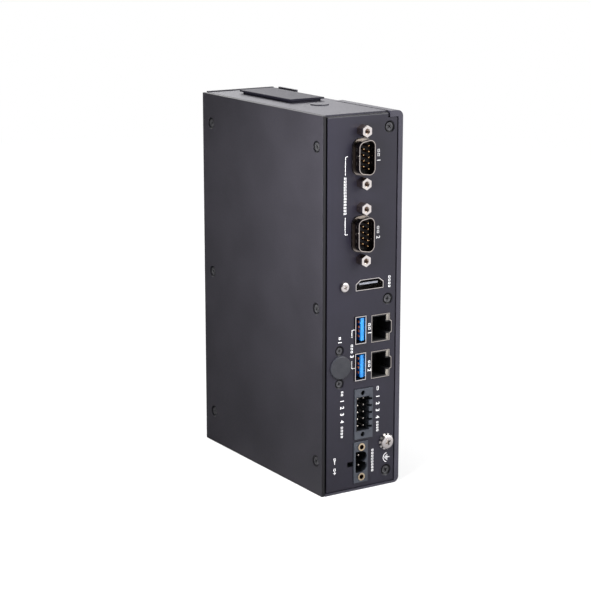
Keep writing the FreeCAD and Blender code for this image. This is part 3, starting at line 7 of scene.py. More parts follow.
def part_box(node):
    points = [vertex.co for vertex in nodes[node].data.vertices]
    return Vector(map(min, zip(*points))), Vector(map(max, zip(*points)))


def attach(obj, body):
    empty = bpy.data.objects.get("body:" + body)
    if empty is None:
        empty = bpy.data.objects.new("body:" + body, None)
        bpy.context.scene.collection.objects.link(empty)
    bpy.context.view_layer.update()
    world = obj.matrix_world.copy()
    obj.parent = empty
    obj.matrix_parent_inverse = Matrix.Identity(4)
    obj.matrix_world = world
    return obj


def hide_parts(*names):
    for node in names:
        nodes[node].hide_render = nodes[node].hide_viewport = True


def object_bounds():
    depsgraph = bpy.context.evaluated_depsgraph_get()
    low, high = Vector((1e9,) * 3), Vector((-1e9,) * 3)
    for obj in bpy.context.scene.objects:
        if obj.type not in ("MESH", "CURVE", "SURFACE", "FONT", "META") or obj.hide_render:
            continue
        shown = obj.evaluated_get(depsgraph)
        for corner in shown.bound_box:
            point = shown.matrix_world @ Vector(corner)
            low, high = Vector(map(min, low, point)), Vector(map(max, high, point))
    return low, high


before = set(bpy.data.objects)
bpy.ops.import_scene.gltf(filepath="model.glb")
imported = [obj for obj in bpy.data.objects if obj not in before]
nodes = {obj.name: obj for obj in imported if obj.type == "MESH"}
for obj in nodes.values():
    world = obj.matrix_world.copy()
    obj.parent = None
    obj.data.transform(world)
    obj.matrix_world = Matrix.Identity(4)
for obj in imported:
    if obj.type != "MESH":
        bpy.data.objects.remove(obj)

# Fanless industrial computer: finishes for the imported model, and its screws, pins,
# threads and printed marks. Lengths in the dictionaries are millimetres.

mm = 0.001
cadLow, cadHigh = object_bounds()
scene = bpy.context.scene
print("frame loaded with", len(nodes), "nodes")


class Wire:
    # one outlet of a graph; every Python operator used on it adds a Math node
    def __init__(self, graph, socket):
        self.graph = graph
        self.socket = socket

    def math(self, operation, *values):
        return self.graph.add("ShaderNodeMath", {"operation": operation}, dict(enumerate(values)))

    def outlet(self, name):
        return Wire(self.graph, self.socket.node.outputs[name])

    def __add__(self, other):
        return self.math("ADD", self, other)

    def __radd__(self, other):
        return self.math("ADD", other, self)

    def __sub__(self, other):
        return self.math("SUBTRACT", self, other)

    def __rsub__(self, other):
        return self.math("SUBTRACT", other, self)

    def __mul__(self, other):
        return self.math("MULTIPLY", self, other)

    def __rmul__(self, other):
        return self.math("MULTIPLY", other, self)

    def __truediv__(self, other):
        return self.math("DIVIDE", self, other)

    def __rtruediv__(self, other):
        return self.math("DIVIDE", other, self)

    def __neg__(self):
        return self.math("MULTIPLY", self, -1.0)

    def __gt__(self, other):
        return self.math("GREATER_THAN", self, other)

    def __lt__(self, other):
        return self.math("LESS_THAN", self, other)

    def least(self, other):
        return self.math("MINIMUM", self, other)

    def most(self, other):
        return self.math("MAXIMUM", self, other)

    def root(self):
        return self.math("SQRT", self)

    def size(self):
        return self.math("ABSOLUTE", self)

    def beyondWhole(self):
        return self.math("FRACT", self)

    def folded(self, span):
        return self.math("PINGPONG", self, span)


class Graph:
    def __init__(self, tree):
        self.tree = tree

    def add(self, kind, settings=None, sockets=None, outlet=0):
        # settings first, then the values or links of the sockets
        node = self.tree.nodes.new(kind)
        for name, value in (settings or {}).items():
            setattr(node, name, value)
        for name, value in (sockets or {}).items():
            for each in value if isinstance(value, list) else [value]:
                if isinstance(each, Wire):
                    self.tree.links.new(each.socket, node.inputs[name])
                else:
                    node.inputs[name].default_value = each
        return Wire(self, node.outputs[outlet]) if len(node.outputs) else None

    def blend(self, amount, first, second):
        return self.add("ShaderNodeMix", {"data_type": "RGBA"}, {0: amount, 6: first, 7: second}, 2)

    def between(self, value, low, high, start=0.0, end=1.0):
        return self.add("ShaderNodeMapRange", {"clamp": True}, {
            "Value": value, "From Min": low, "From Max": high, "To Min": start, "To Max": end})

    def rays(self):
        # 1 for a ray that is seen directly or through glass, and 1 for a mirrored ray
        path = self.add("ShaderNodeLightPath", outlet="Is Camera Ray")
        return path.most(path.outlet("Is Transmission Ray")), path.outlet("Is Glossy Ray")


def rgb(red, green, blue):
    return (red, green, blue, 1.0)


# Finishes

class Finish(Graph):
    def __init__(self, name):
        self.material = bpy.data.materials.new(name)
        self.material.use_nodes = True
        super().__init__(self.material.node_tree)
        self.tree.nodes.clear()
        self.place = self.add("ShaderNodeTexCoord", outlet="Object")

    def stretched(self, x, y, z):
        return self.add("ShaderNodeMapping", None, {"Vector": self.place, "Scale": (x, y, z)})

    def along(self, axis):
        return self.add("ShaderNodeSeparateXYZ", None, {"Vector": self.place}, axis)

    def noise(self, grain, detail=2.0, rough=0.5, place=None):
        # grain is the size of one speck in millimetres
        return self.add("ShaderNodeTexNoise", None, {
            "Vector": place or self.place, "Scale": 1 / (grain * mm), "Detail": detail, "Roughness": rough})

    def uneven(self, grain, low, high):
        # a value from low to high that follows the middle range of a noise
        return self.between(grain, 0.3, 0.7, low, high)

    def depth(self, start, end, axis="Y"):
        # 0 in front of start and 1 behind end, along one axis in millimetres
        return self.between(self.along(axis), start * mm, end * mm)

    def paintShadeDeeper(self, base, deep, rear=None):
        # paints a darker shade over base further back along y, down a bore, a shaft or a side, as far as
        # rear
        start, end, tone = deep
        amount = self.depth(start, end)
        if rear:
            amount = amount - self.depth(*rear)
        return self.blend(amount, base, rgb(*tone))

    def paintShadeBehind(self, base, face, reach):
        # painted shade behind a face, given as its place in metres and its axis
        place, axis = face
        start, end = reach
        amount = self.depth(place / mm + start, place / mm + end, axis)
        return self.blend(amount, base, rgb(*paintedShadeTone))

    def bump(self, height, rise):
        return self.add("ShaderNodeBump", None, {"Height": height, "Distance": rise * mm, "Strength": 1.0})

    def surface(self, sockets):
        shader = self.add("ShaderNodeBsdfPrincipled", None, sockets)
        self.add("ShaderNodeOutputMaterial", None, {"Surface": shader})
        return self.material


# painted shade for holes and gaps behind a sheet's face and for the recesses of screws; the coat's edge is
# how far behind the face it starts and is full
paintedShadeTone = (0.003, 0.003, 0.004)
coatLook = {"grain": 0.45, "cloud": 30.0, "cloudRange": (0.35, 0.65), "cloudShare": 0.7, "speck": 0.99,
            "speckRange": (0.6, 0.75), "speckShare": 0.3, "fade": 0.14, "rise": 0.012,
            "roughness": (0.38, 0.48), "edge": (0.08, 0.2)}


def powderCoat(name, colour, shine=0.5, face=None):
    # satin powder coat: fine orange peel, faint clouds and specks; where face names a
    # sheet's outer face, shade is painted on what lies behind it: the cut edges of its holes and the seats
    # of its screws
    finish = Finish(name)
    peel = finish.noise(coatLook["grain"], detail=3.0, rough=0.6)
    cloud = finish.between(finish.noise(coatLook["cloud"], detail=3.0, rough=0.55),
                           *coatLook["cloudRange"])
    speck = finish.between(finish.noise(coatLook["speck"], detail=1.0), *coatLook["speckRange"])
    dark = rgb(*(part * (1 - coatLook["fade"]) for part in colour))
    light = rgb(*(part * (1 + coatLook["fade"]) for part in colour))
    base = finish.blend(cloud * coatLook["cloudShare"] + speck * coatLook["speckShare"], dark, light)
    # painted shade behind the sheet's face
    if face:
        base = finish.paintShadeBehind(base, face, coatLook["edge"])
    return finish.surface({
        "Base Color": base, "Roughness": finish.uneven(peel, *coatLook["roughness"]),
        "Specular IOR Level": shine, "Normal": finish.bump(peel, coatLook["rise"])})


metalLook = {"grain": 0.5, "rise": 0.004, "smudge": 2.5, "smudgeRange": (0.35, 0.7), "smudgeShare": 0.6,
             "markShare": 0.4, "spread": (0.8, 1.35)}
# tone is a darker colour painted on the pressed spots as their shade
shellDimples = {"middles": (165.97, 128.97), "pitch": 3.3636, "y": -59.9, "tall": 0.85, "wide": 0.4,
                "rim": (0.5, 1.2), "tone": (0.6, 0.55, 0.5), "share": 0.6, "rise": 30.0}


def dimpleSpots(finish):
    # three pressed spots on each side of both serial shells: 1 on a spot and 0 off it
    y = finish.along("Y")
    z = y.outlet("Z")
    upper, lower = shellDimples["middles"]
    pitch = shellDimples["pitch"] * mm
    step = (z / pitch - upper / shellDimples["pitch"] + 0.5).beyondWhole() - 0.5
    near = (z - upper * mm).size().least((z - lower * mm).size()) < pitch * 1.5
    tall = step * (pitch / (shellDimples["tall"] * mm))
    wide = (y - shellDimples["y"] * mm) / (shellDimples["wide"] * mm)
    return finish.between(tall * tall + wide * wide, *shellDimples["rim"], 1.0, 0.0) * near


def platedMetal(name, colour, shade, roughness, drawn=None, deep=None, rear=None, dimpled=False):
    # plated metal: smudges in the shine, and marks along one direction where it was drawn
    finish = Finish(name)
    place = finish.stretched(*drawn) if drawn else None
    marks = finish.noise(metalLook["grain"], rough=0.6, place=place)
    smudge = finish.between(finish.noise(metalLook["smudge"], detail=3.0, rough=0.6),
                            *metalLook["smudgeRange"])
    base = finish.blend(smudge * metalLook["smudgeShare"] + marks * metalLook["markShare"],
                        rgb(*colour), rgb(*shade))
    # deep paints shade further back along y
    if deep:
        base = finish.paintShadeDeeper(base, deep, rear)
    relief = marks
    if dimpled:
        # the pressed spots are dented by the bump and also painted darker, a painted shade
        spot = dimpleSpots(finish)
        base = finish.blend(spot * shellDimples["share"], base, rgb(*shellDimples["tone"]))
        relief = marks - spot * shellDimples["rise"]
    low, high = metalLook["spread"]
    dull = finish.between(smudge * 0.5 + marks * 0.5, 0.2, 0.8, roughness * low, roughness * high)
    return finish.surface({"Base Color": base, "Metallic": 1.0, "Roughness": dull,
                           "Normal": finish.bump(relief, metalLook["rise"])})


plasticLook = {"grain": 0.25, "rise": 0.004, "flow": 4.0, "flowRange": (0.35, 0.65),
               "spread": (0.85, 1.15), "skin": 0.15}


def mouldedPlastic(name, colour, shade, roughness, clear=0.0, deep=None):
    # glass filled plastic: fine tooth, slightly paler where the mould flowed
    finish = Finish(name)
    tooth = finish.noise(plasticLook["grain"], rough=0.6)
    flow = finish.between(finish.noise(plasticLook["flow"]), *plasticLook["flowRange"])
    base = finish.blend(flow, rgb(*colour), rgb(*shade))
    # deep paints shade further back along y
    if deep:
        base = finish.paintShadeDeeper(base, deep)
    low, high = plasticLook["spread"]
    dull = finish.uneven(tooth, roughness * low, roughness * high)
    sockets = {"Base Color": base, "Roughness": dull, "Normal": finish.bump(tooth, plasticLook["rise"])}
    if clear:
        sockets["Coat Weight"] = clear
        sockets["Coat Roughness"] = plasticLook["skin"]
    return finish.surface(sockets)


# recess is how far behind the head's face the painted shade starts and is full, in millimetres
steelLook = {"grain": 0.3, "rise": 0.004, "wear": 1.2, "wearRange": (0.5, 0.7), "metal": 0.6,
             "roughness": (0.24, 0.36), "recess": (0.2, 0.4)}


def blackenedSteel(name, colour, worn, face):
    # blackened steel: half a metal in its shine, paler where it is worn, with shade painted into the recess
    finish = Finish(name)
    grain = finish.noise(steelLook["grain"], rough=0.6)
    wear = finish.between(finish.noise(steelLook["wear"]), *steelLook["wearRange"])
    base = finish.paintShadeBehind(finish.blend(wear, rgb(*colour), rgb(*worn)), face, steelLook["recess"])
    return finish.surface({
        "Base Color": base, "Metallic": steelLook["metal"],
        "Roughness": finish.uneven(grain, *steelLook["roughness"]),
        "Normal": finish.bump(grain, steelLook["rise"])})


boardLook = {"mask": (0.012, 0.085, 0.04), "track": (0.03, 0.17, 0.075), "pitch": 2.2, "spaced": 0.3,
             "area": 14.0, "areaRange": (0.48, 0.5), "rise": 0.03, "roughness": 0.35,
             "pad": (0.75, 0.6, 0.3), "padPitch": 3.2, "padReach": 0.14, "padMetal": 0.9,
             "padPolish": 0.1}


def solderMask(name):
    # green mask over copper tracks, which run up in some areas and across in the others, with
    # tinned pads
    finish = Finish(name)
    place = finish.along("X")
    up = place.outlet("Z") / (boardLook["pitch"] * mm)
    across = place.outlet("Y") / (boardLook["pitch"] * mm)
    area = finish.between(finish.noise(boardLook["area"], detail=0.0), *boardLook["areaRange"])
    rows, columns = (way.folded(0.5) > boardLook["spaced"] for way in (up, across))
    track = rows * area + columns * (1 - area)
    cells = finish.add("ShaderNodeTexVoronoi", None, {
        "Vector": finish.place, "Scale": 1 / (boardLook["padPitch"] * mm)})
    pad = cells < boardLook["padReach"]
    base = finish.blend(track, rgb(*boardLook["mask"]), rgb(*boardLook["track"]))
    base = finish.blend(pad, base, rgb(*boardLook["pad"]))
    return finish.surface({
        "Base Color": base, "Metallic": pad * boardLook["padMetal"],
        "Roughness": boardLook["roughness"] - pad * boardLook["padPolish"],
        "Normal": finish.bump(track, boardLook["rise"])})


padLook = {"grain": 0.8, "dark": (0.3, 0.33, 0.37), "light": (0.42, 0.45, 0.5), "roughness": 0.85,
           "rise": 0.03}


def softPad(name):
    # silicone thermal pad with a visible filler
    finish = Finish(name)
    fill = finish.noise(padLook["grain"], detail=3.0)
    base = finish.blend(fill, rgb(*padLook["dark"]), rgb(*padLook["light"]))
    return finish.surface({"Base Color": base, "Roughness": padLook["roughness"],
                           "Normal": finish.bump(fill, padLook["rise"])})


inkLook = {"grain": 0.3, "range": (0.3, 0.6), "thin": (0.62, 0.62, 0.64), "full": (0.86, 0.86, 0.87),
           "roughness": 0.55}


def printedInk(name):
    # white screen print, a little thin in places
    finish = Finish(name)
    cover = finish.between(finish.noise(inkLook["grain"]), *inkLook["range"])
    return finish.surface({"Base Color": finish.blend(cover, rgb(*inkLook["thin"]), rgb(*inkLook["full"])),
                           "Roughness": inkLook["roughness"]})


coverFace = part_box("left_cover")[0].x
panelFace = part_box("front_panel")[0].y

# One entry for each finish. Its face is a plane in metres with its axis, behind which shade is
# painted, drawn is the scale of the marks on each axis, deep is where along y a painted shade
# starts and is full, with its colour, and rear is where that painted shade starts to fade and is gone.

coats = {
    "housingPaint": {"colour": (0.036, 0.034, 0.048)},
    "coverPaint": {"colour": (0.021, 0.0198, 0.0245), "face": (coverFace, "X")},
    "panelPaint": {"colour": (0.0108, 0.0097, 0.018), "face": (panelFace, "Y")},
    "rearPaint": {"colour": (0.0108, 0.0097, 0.018)},
    "platePaint": {"colour": (0.019, 0.018, 0.028), "shine": 0.12},
}
# face is the face of the screw heads; shade is painted behind it
steels = {
    "sideSteel": {"colour": (0.06, 0.06, 0.064), "worn": (0.11, 0.108, 0.115),
                  "face": (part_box("left_cover_screws")[0].x, "X")},
    "frontSteel": {"colour": (0.065, 0.065, 0.069), "worn": (0.13, 0.128, 0.135),
                   "face": (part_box("front_panel_screws")[0].y, "Y")},
}
metals = {
    "nickelPlate": {"colour": (0.95, 0.92, 0.88), "shade": (0.78, 0.73, 0.68), "roughness": 0.2},
    # washerNickel is paler than the nickel plate so that the washer reads brighter: painted light
    "washerNickel": {"colour": (1.0, 0.98, 0.95), "shade": (0.88, 0.85, 0.81), "roughness": 0.34},
    "jackNickel": {"colour": (1.0, 0.96, 0.9), "shade": (0.85, 0.79, 0.72), "roughness": 0.2,
                   "deep": (-61.7, -60.4, (0.52, 0.42, 0.36))},
    # shieldPlate is a darker copy of the nickel plate, painted shade on the network shells
    "shieldPlate": {"colour": (0.72, 0.68, 0.62), "shade": (0.5, 0.46, 0.42), "roughness": 0.28},
    "zincPlate": {"colour": (0.7, 0.71, 0.73), "shade": (0.5, 0.52, 0.55), "roughness": 0.35},
    "tinPlate": {"colour": (0.74, 0.68, 0.61), "shade": (0.52, 0.46, 0.4), "roughness": 0.2,
                 "drawn": (1.0, 0.08, 1.0), "deep": (-61.95, -61.6, (0.09, 0.075, 0.065)),
                 "rear": (-57.8, -57.5), "dimpled": True},
    "goldPlate": {"colour": (0.95, 0.66, 0.36), "shade": (0.8, 0.48, 0.22), "roughness": 0.22,
                  "deep": (-61.1, -59.6, (0.16, 0.05, 0.02))},
    "turnedBrass": {"colour": (1.0, 0.86, 0.62), "shade": (0.95, 0.74, 0.46), "roughness": 0.24,
                    "deep": (-57.75, -57.0, (0.1, 0.05, 0.025))},
    "tinnedPin": {"colour": (0.85, 0.8, 0.72), "shade": (0.6, 0.55, 0.48), "roughness": 0.25},
    "cellCan": {"colour": (0.78, 0.78, 0.79), "shade": (0.6, 0.6, 0.62), "roughness": 0.25},
}
plastics = {
    "blackSteel": {"colour": (0.006, 0.006, 0.007), "shade": (0.012, 0.012, 0.014), "roughness": 0.22,
                   "clear": 0.3},
    "blackPlastic": {"colour": (0.012, 0.012, 0.013), "shade": (0.018, 0.018, 0.02), "roughness": 0.45},
    "jackPlastic": {"colour": (0.006, 0.006, 0.007), "shade": (0.01, 0.01, 0.011), "roughness": 0.55,
                    "deep": (-57.4, -55.8, (0.0015, 0.0015, 0.002))},
    "capPlastic": {"colour": (0.019, 0.02, 0.025), "shade": (0.025, 0.026, 0.031), "roughness": 0.42},
    "greyPlastic": {"colour": (0.17, 0.18, 0.21), "shade": (0.24, 0.25, 0.285), "roughness": 0.45,
                    "deep": (-55.7, -54.6, (0.006, 0.006, 0.008))},
    "bluePlastic": {"colour": (0.018, 0.21, 0.6), "shade": (0.03, 0.27, 0.7), "roughness": 0.28,
                    "clear": 0.3, "deep": (-56.4, -55.2, (0.002, 0.02, 0.11))},
    "headerPlastic": {"colour": (0.034, 0.038, 0.049), "shade": (0.044, 0.049, 0.061), "roughness": 0.4,
                      "deep": (-57.5, -56.4, (0.007, 0.008, 0.01))},
    "pipePlastic": {"colour": (0.16, 0.145, 0.13), "shade": (0.25, 0.23, 0.2), "roughness": 0.25,
                    "clear": 0.3},
    "contactCopper": {"colour": (0.8, 0.22, 0.05), "shade": (0.9, 0.3, 0.1), "roughness": 0.3,
                      "deep": (-55.0, -54.3, (0.03, 0.012, 0.02))},
    "chipBlack": {"colour": (0.012, 0.012, 0.013), "shade": (0.02, 0.02, 0.021), "roughness": 0.6},
    "ferrite": {"colour": (0.05, 0.05, 0.052), "shade": (0.075, 0.075, 0.078), "roughness": 0.7},
}
finishes = {"boardGreen": solderMask("boardGreen"), "thermalGrey": softPad("thermalGrey"),
            "whiteInk": printedInk("whiteInk")}
for maker, looks in ((powderCoat, coats), (blackenedSteel, steels), (platedMetal, metals),
                     (mouldedPlastic, plastics)):
    for name, look in looks.items():
        finishes[name] = maker(name, **look)

finishOf = {
    "heatsink_housing": "housingPaint", "left_cover": "coverPaint", "front_panel": "panelPaint",
    "rear_panel": "rearPaint", "top_cover": "platePaint", "port_cap": "capPlastic",
    "cap_bracket": "zincPlate", "board_bracket": "zincPlate", "ground_washer": "washerNickel",
    "rail_inserts": "nickelPlate", "com_jackscrews": "jackNickel", "video_port_shell": "nickelPlate",
    "video_port_insert": "greyPlastic", "lan_light_pipes": "pipePlastic", "io_header": "headerPlastic",
    "power_header": "headerPlastic", "power_header_inserts": "turnedBrass", "mainboard": "boardGreen",
    "memory_module": "boardGreen", "storage_card": "boardGreen", "processor": "chipBlack",
    "support_chips": "chipBlack", "thermal_pad": "thermalGrey", "memory_socket": "blackPlastic",
    "storage_socket": "blackPlastic", "coin_cell_holder": "blackPlastic", "coin_cell": "cellCan",
    "capacitors": "cellCan", "power_choke": "ferrite", "storage_screw": "nickelPlate",
}
for number in ("1", "2"):
    finishOf.update({
        f"com{number}_shell": "tinPlate", f"com{number}_insulator": "blackPlastic",
        f"usb{number}_shell": "nickelPlate", f"usb{number}_insert": "bluePlastic",
        f"usb{number}_contacts": "contactCopper", f"lan{number}_shell": "shieldPlate",
        f"lan{number}_insert": "jackPlastic", f"lan{number}_contacts": "goldPlate"})
for nodeName, finishName in finishOf.items():
    for slot in nodes[nodeName].material_slots:
        slot.material = finishes[finishName]
print("finishes on", len(finishOf), "nodes")


# Places that the frame gives

def islands(nodeName):
    # the box of each separate solid in a node, from a merged copy of its mesh
    copy = bmesh.new()
    copy.from_mesh(nodes[nodeName].data)
    bmesh.ops.remove_doubles(copy, verts=copy.verts, dist=0.002 * mm)
    waiting = set(copy.verts)
    boxes = []
    while waiting:
        members = [waiting.pop()]
        for vertex in members:
            for edge in vertex.link_edges:
                other = edge.other_vert(vertex)
                if other in waiting:
                    waiting.remove(other)
                    members.append(other)
        boxes.append((Vector([min(v.co[axis] for v in members) for axis in range(3)]),
                      Vector([max(v.co[axis] for v in members) for axis in range(3)])))
    copy.free()
    return sorted(boxes, key=lambda box: (round(box[0].z, 4), round(box[0].x, 4), round(box[0].y, 4)))


# turn takes a recipe's upward axis to the facing, and side is the outer end of a box on its axis
facings = {
    "front": {"turn": (math.radians(90), 0.0, 0.0), "axis": 1, "side": 0},
    "rear": {"turn": (math.radians(-90), 0.0, 0.0), "axis": 1, "side": 1},
    "left": {"turn": (0.0, math.radians(-90), 0.0), "axis": 0, "side": 0},
}


def outerPlaces(boxes, facing, inset):
    # the middle of the outer end of each box, moved inwards by inset metres
    axis, side = facings[facing]["axis"], facings[facing]["side"]
    places = []
    for box in boxes:
        place = (box[0] + box[1]) / 2
        place[axis] = box[side][axis] - inset if side else box[side][axis] + inset
        places.append(place)
    return places


# Geometry Nodes recipes for what repeats

class Recipe(Graph):
    def __init__(self, name, inlets):
        super().__init__(bpy.data.node_groups.new(name, "GeometryNodeTree"))
        self.tree.interface.new_socket("Places", in_out="INPUT", socket_type="NodeSocketGeometry")
        for inlet, kind in inlets.items():
            self.tree.interface.new_socket(inlet, in_out="INPUT", socket_type="NodeSocket" + kind)
        self.tree.interface.new_socket("Pieces", in_out="OUTPUT", socket_type="NodeSocketGeometry")
        self.source = self.tree.nodes.new("NodeGroupInput")

    def inlet(self, name):
        return Wire(self, self.source.outputs[name])

    def moved(self, geometry, offset=(0, 0, 0), place=None):
        sockets = {"Geometry": geometry, "Offset": offset}
        if place:
            sockets["Position"] = place
        return self.add("GeometryNodeSetPosition", None, sockets)

    def vector(self, x, y, z):
        return self.add("ShaderNodeCombineXYZ", None, {"X": x, "Y": y, "Z": z})

    def position(self):
        place = self.add("GeometryNodeInputPosition")
        return self.add("ShaderNodeSeparateXYZ", None, {"Vector": place}, "X")

    def cylinder(self, radius, depth, sides, settings=None, sockets=None):
        return self.add("GeometryNodeMeshCylinder", settings, {
            "Vertices": sides, **(sockets or {}), "Radius": radius, "Depth": depth}, "Mesh")

    def joined(self, *parts):
        return self.add("GeometryNodeJoinGeometry", None, {"Geometry": list(parts)})

    def stood(self, piece):
        # one piece on every place, turned to face Towards, each by its own chance angle
        facing = self.add("FunctionNodeEulerToRotation", None, {"Euler": self.inlet("Towards")})
        spread = self.inlet("Turn Spread")
        angle = self.add("FunctionNodeRandomValue", {"data_type": "FLOAT"},
                         {2: -spread, 3: spread, "Seed": 7}, 1)
        turn = self.add("FunctionNodeAxisAngleToRotation", None, {"Axis": (0, 0, 1), "Angle": angle})
        facing = self.add("FunctionNodeRotateRotation", {"rotation_space": "LOCAL"},
                          {"Rotation": facing, "Rotate By": turn})
        placed = self.add("GeometryNodeInstanceOnPoints", None, {
            "Points": self.inlet("Places"), "Instance": piece, "Rotation": facing})
        real = self.add("GeometryNodeRealizeInstances", None, {"Geometry": placed})
        painted = self.add("GeometryNodeSetMaterial", None, {
            "Geometry": real, "Material": self.inlet("Finish")})
        self.add("NodeGroupOutput", None, {"Pieces": painted})


commonInlets = {"Towards": "Vector", "Turn Spread": "Float", "Finish": "Material"}
screwMesh = {"sides": 48, "rings": 8, "fans": 4, "shankSides": 32, "taper": 0.45}


def screwRecipe():
    # head with a cross recess, narrowed or rounded towards its edge, on a plain shank
    names = ("Head Radius", "Head Height", "Base Ratio", "Shoulder", "Crown", "Proud", "Shank Radius",
             "Shank Length", "Recess Span", "Recess Width", "Recess Depth")
    recipe = Recipe("recessedScrew", {**{name: "Float" for name in names}, **commonInlets})
    radius, height = recipe.inlet("Head Radius"), recipe.inlet("Head Height")
    proud, ratio = recipe.inlet("Proud"), recipe.inlet("Base Ratio")
    blank = recipe.cylinder(radius, height, screwMesh["sides"], {"fill_type": "TRIANGLE_FAN"},
                            {"Side Segments": screwMesh["rings"], "Fill Segments": screwMesh["fans"]})
    x = recipe.position()
    y, z = x.outlet("Y"), x.outlet("Z")
    # level is 0 at the head's base and 1 on its face; the shoulder takes up the upper 0.4 of it
    level = z / height + 0.5
    upper = (level * 2.5 - 1.5).most(0.0)
    narrow = (ratio + (1 - ratio) * level) * (1 - recipe.inlet("Shoulder") * upper * upper).root()
    spread = (x * x + y * y) / (radius * radius)
    lift = recipe.inlet("Crown") * (1 - spread) * (level > 0.999)
    blank = recipe.moved(blank, place=recipe.vector(x * narrow, y * narrow, z - height / 2 + proud + lift))
    span, wide, deep = (recipe.inlet("Recess " + name) for name in ("Span", "Width", "Depth"))
    arms = []
    for sizes in ((span, wide), (wide, span)):
        arm = recipe.add("GeometryNodeMeshCube", None, {"Size": recipe.vector(*sizes, deep * 2)}, "Mesh")
        x = recipe.position()
        y, z = x.outlet("Y"), x.outlet("Z")
        taper = 1 + (z / deep).least(0.0) * screwMesh["taper"]
        arms.append(recipe.moved(arm, place=recipe.vector(x * taper, y * taper, z + proud)))
    head = recipe.add("GeometryNodeMeshBoolean", {"operation": "DIFFERENCE", "solver": "EXACT"},
                      {"Mesh 1": blank, "Mesh 2": arms, "Self Intersection": True})
    long = recipe.inlet("Shank Length") + proud - height
    shank = recipe.cylinder(recipe.inlet("Shank Radius"), long, screwMesh["shankSides"])
    shank = recipe.moved(shank, recipe.vector(0.0, 0.0, proud - height - long / 2))
    recipe.stood(recipe.joined(head, shank))
    return recipe


pinMesh = {"sides": 24, "rings": 12}


def pinRecipe():
    # a round contact pin with a domed tip; its place is the tip
    recipe = Recipe("contactPin", {"Radius": "Float", "Length": "Float", "Tip": "Float", **commonInlets})
    radius, long, tip = recipe.inlet("Radius"), recipe.inlet("Length"), recipe.inlet("Tip")
    shaft = recipe.cylinder(radius, long - tip, pinMesh["sides"])
    shaft = recipe.moved(shaft, recipe.vector(0.0, 0.0, -(long + tip) / 2))
    dome = recipe.add("GeometryNodeMeshUVSphere", None, {
        "Segments": pinMesh["sides"], "Rings": pinMesh["rings"], "Radius": radius}, "Mesh")
    x = recipe.position()
    dome = recipe.moved(dome, place=recipe.vector(x, x.outlet("Y"), x.outlet("Z") * tip / radius - tip))
    recipe.stood(recipe.joined(shaft, dome))
    return recipe


threadMesh = {"steps": 24, "sides": 6}


def threadRecipe():
    # a fine helical wire that reads as the thread inside a bore
    recipe = Recipe("innerThread", {"Bore Radius": "Float", "Wire Radius": "Float", "Turns": "Float",
                                    "Depth": "Float", **commonInlets})
    bore, deep = recipe.inlet("Bore Radius"), recipe.inlet("Depth")
    helix = recipe.add("GeometryNodeCurveSpiral", None, {
        "Resolution": threadMesh["steps"], "Rotations": recipe.inlet("Turns"), "Start Radius": bore,
        "End Radius": bore, "Height": deep})
    ring = recipe.add("GeometryNodeCurvePrimitiveCircle", {"mode": "RADIUS"}, {
        "Resolution": threadMesh["sides"], "Radius": recipe.inlet("Wire Radius")})
    thread = recipe.add("GeometryNodeCurveToMesh", None, {
        "Curve": helix, "Profile Curve": ring, "Fill Caps": True})
    recipe.stood(recipe.moved(thread, recipe.vector(0.0, 0.0, -deep)))
    return recipe


def plainMesh(name, holder):
    # what a linked object shows, as one plain mesh; the object itself goes
    graph = bpy.context.evaluated_depsgraph_get()
    mesh = bpy.data.meshes.new_from_object(holder.evaluated_get(graph), depsgraph=graph)
    bpy.data.objects.remove(holder)
    mesh.name = name
    return mesh


def shown(name, mesh, smoothAngle=35.0):
    mesh.shade_smooth()
    mesh.set_sharp_from_angle(angle=math.radians(smoothAngle))
    piece = bpy.data.objects.new(name, mesh)
    scene.collection.objects.link(piece)
    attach(piece, "root")
    return piece


def grown(name, recipe, places, sizes, look, turnSpread=0.0):
    # runs a recipe on a set of places and keeps the result as one plain mesh
    seeds = bpy.data.meshes.new(name + "Places")
    seeds.from_pydata([tuple(place) for place in places], [], [])
    holder = bpy.data.objects.new(name + "Places", seeds)
    scene.collection.objects.link(holder)
    modifier = holder.modifiers.new("recipe", "NODES")
    modifier.node_group = recipe.tree
    values = {**sizes, "Towards": facings[look["facing"]]["turn"], "Turn Spread": math.radians(turnSpread),
              "Finish": finishes[look["finish"]]}
    for item in recipe.tree.interface.items_tree:
        if item.in_out == "INPUT" and item.name in values:
            modifier[item.identifier] = values[item.name]
    return shown(name, plainMesh(name, holder))


screws = screwRecipe()
pins = pinRecipe()
threads = threadRecipe()

# Screws: one entry for each CAD node that they stand for

countersunkLook = {"Radius Ratio": 0.87, "Base Ratio": 0.62, "Shoulder": 0.1, "Crown": 0.0,
                   "Shank Ratio": 0.6, "Span Ratio": 1.05, "Width Ratio": 0.27, "Depth Ratio": 0.44,
                   "Sink": 0.02}
panLook = {"Radius Ratio": 1.0, "Base Ratio": 0.96, "Shoulder": 0.34, "Crown": 0.09,
           "Shank Ratio": 0.55, "Span Ratio": 1.12, "Width Ratio": 0.3, "Depth Ratio": 0.42}
screwSets = {
    "left_cover_screws": {"look": countersunkLook, "facing": "left", "head": 0.95,
                          "finish": "sideSteel", "slot": "black_steel"},
    "front_panel_screws": {"look": countersunkLook, "facing": "front", "head": 0.95,
                           "finish": "frontSteel", "slot": "black_steel"},
    "port_cap_screws": {"look": countersunkLook, "facing": "front", "head": 0.8,
                        "finish": "frontSteel", "slot": "black_steel"},
    "panel_screw": {"look": panLook, "facing": "front", "head": 1.3,
                    "finish": "nickelPlate", "slot": "nickel"},
    "ground_screw": {"look": panLook, "facing": "front", "head": 1.7,
                     "finish": "nickelPlate", "slot": "nickel"},
    "rear_panel_screws": {"look": panLook, "facing": "rear", "head": 1.9,
                          "finish": "blackSteel", "slot": "black_steel"},
    "board_screws": {"look": panLook, "facing": "left", "head": 1.9,
                     "finish": "nickelPlate", "slot": "nickel"},
}
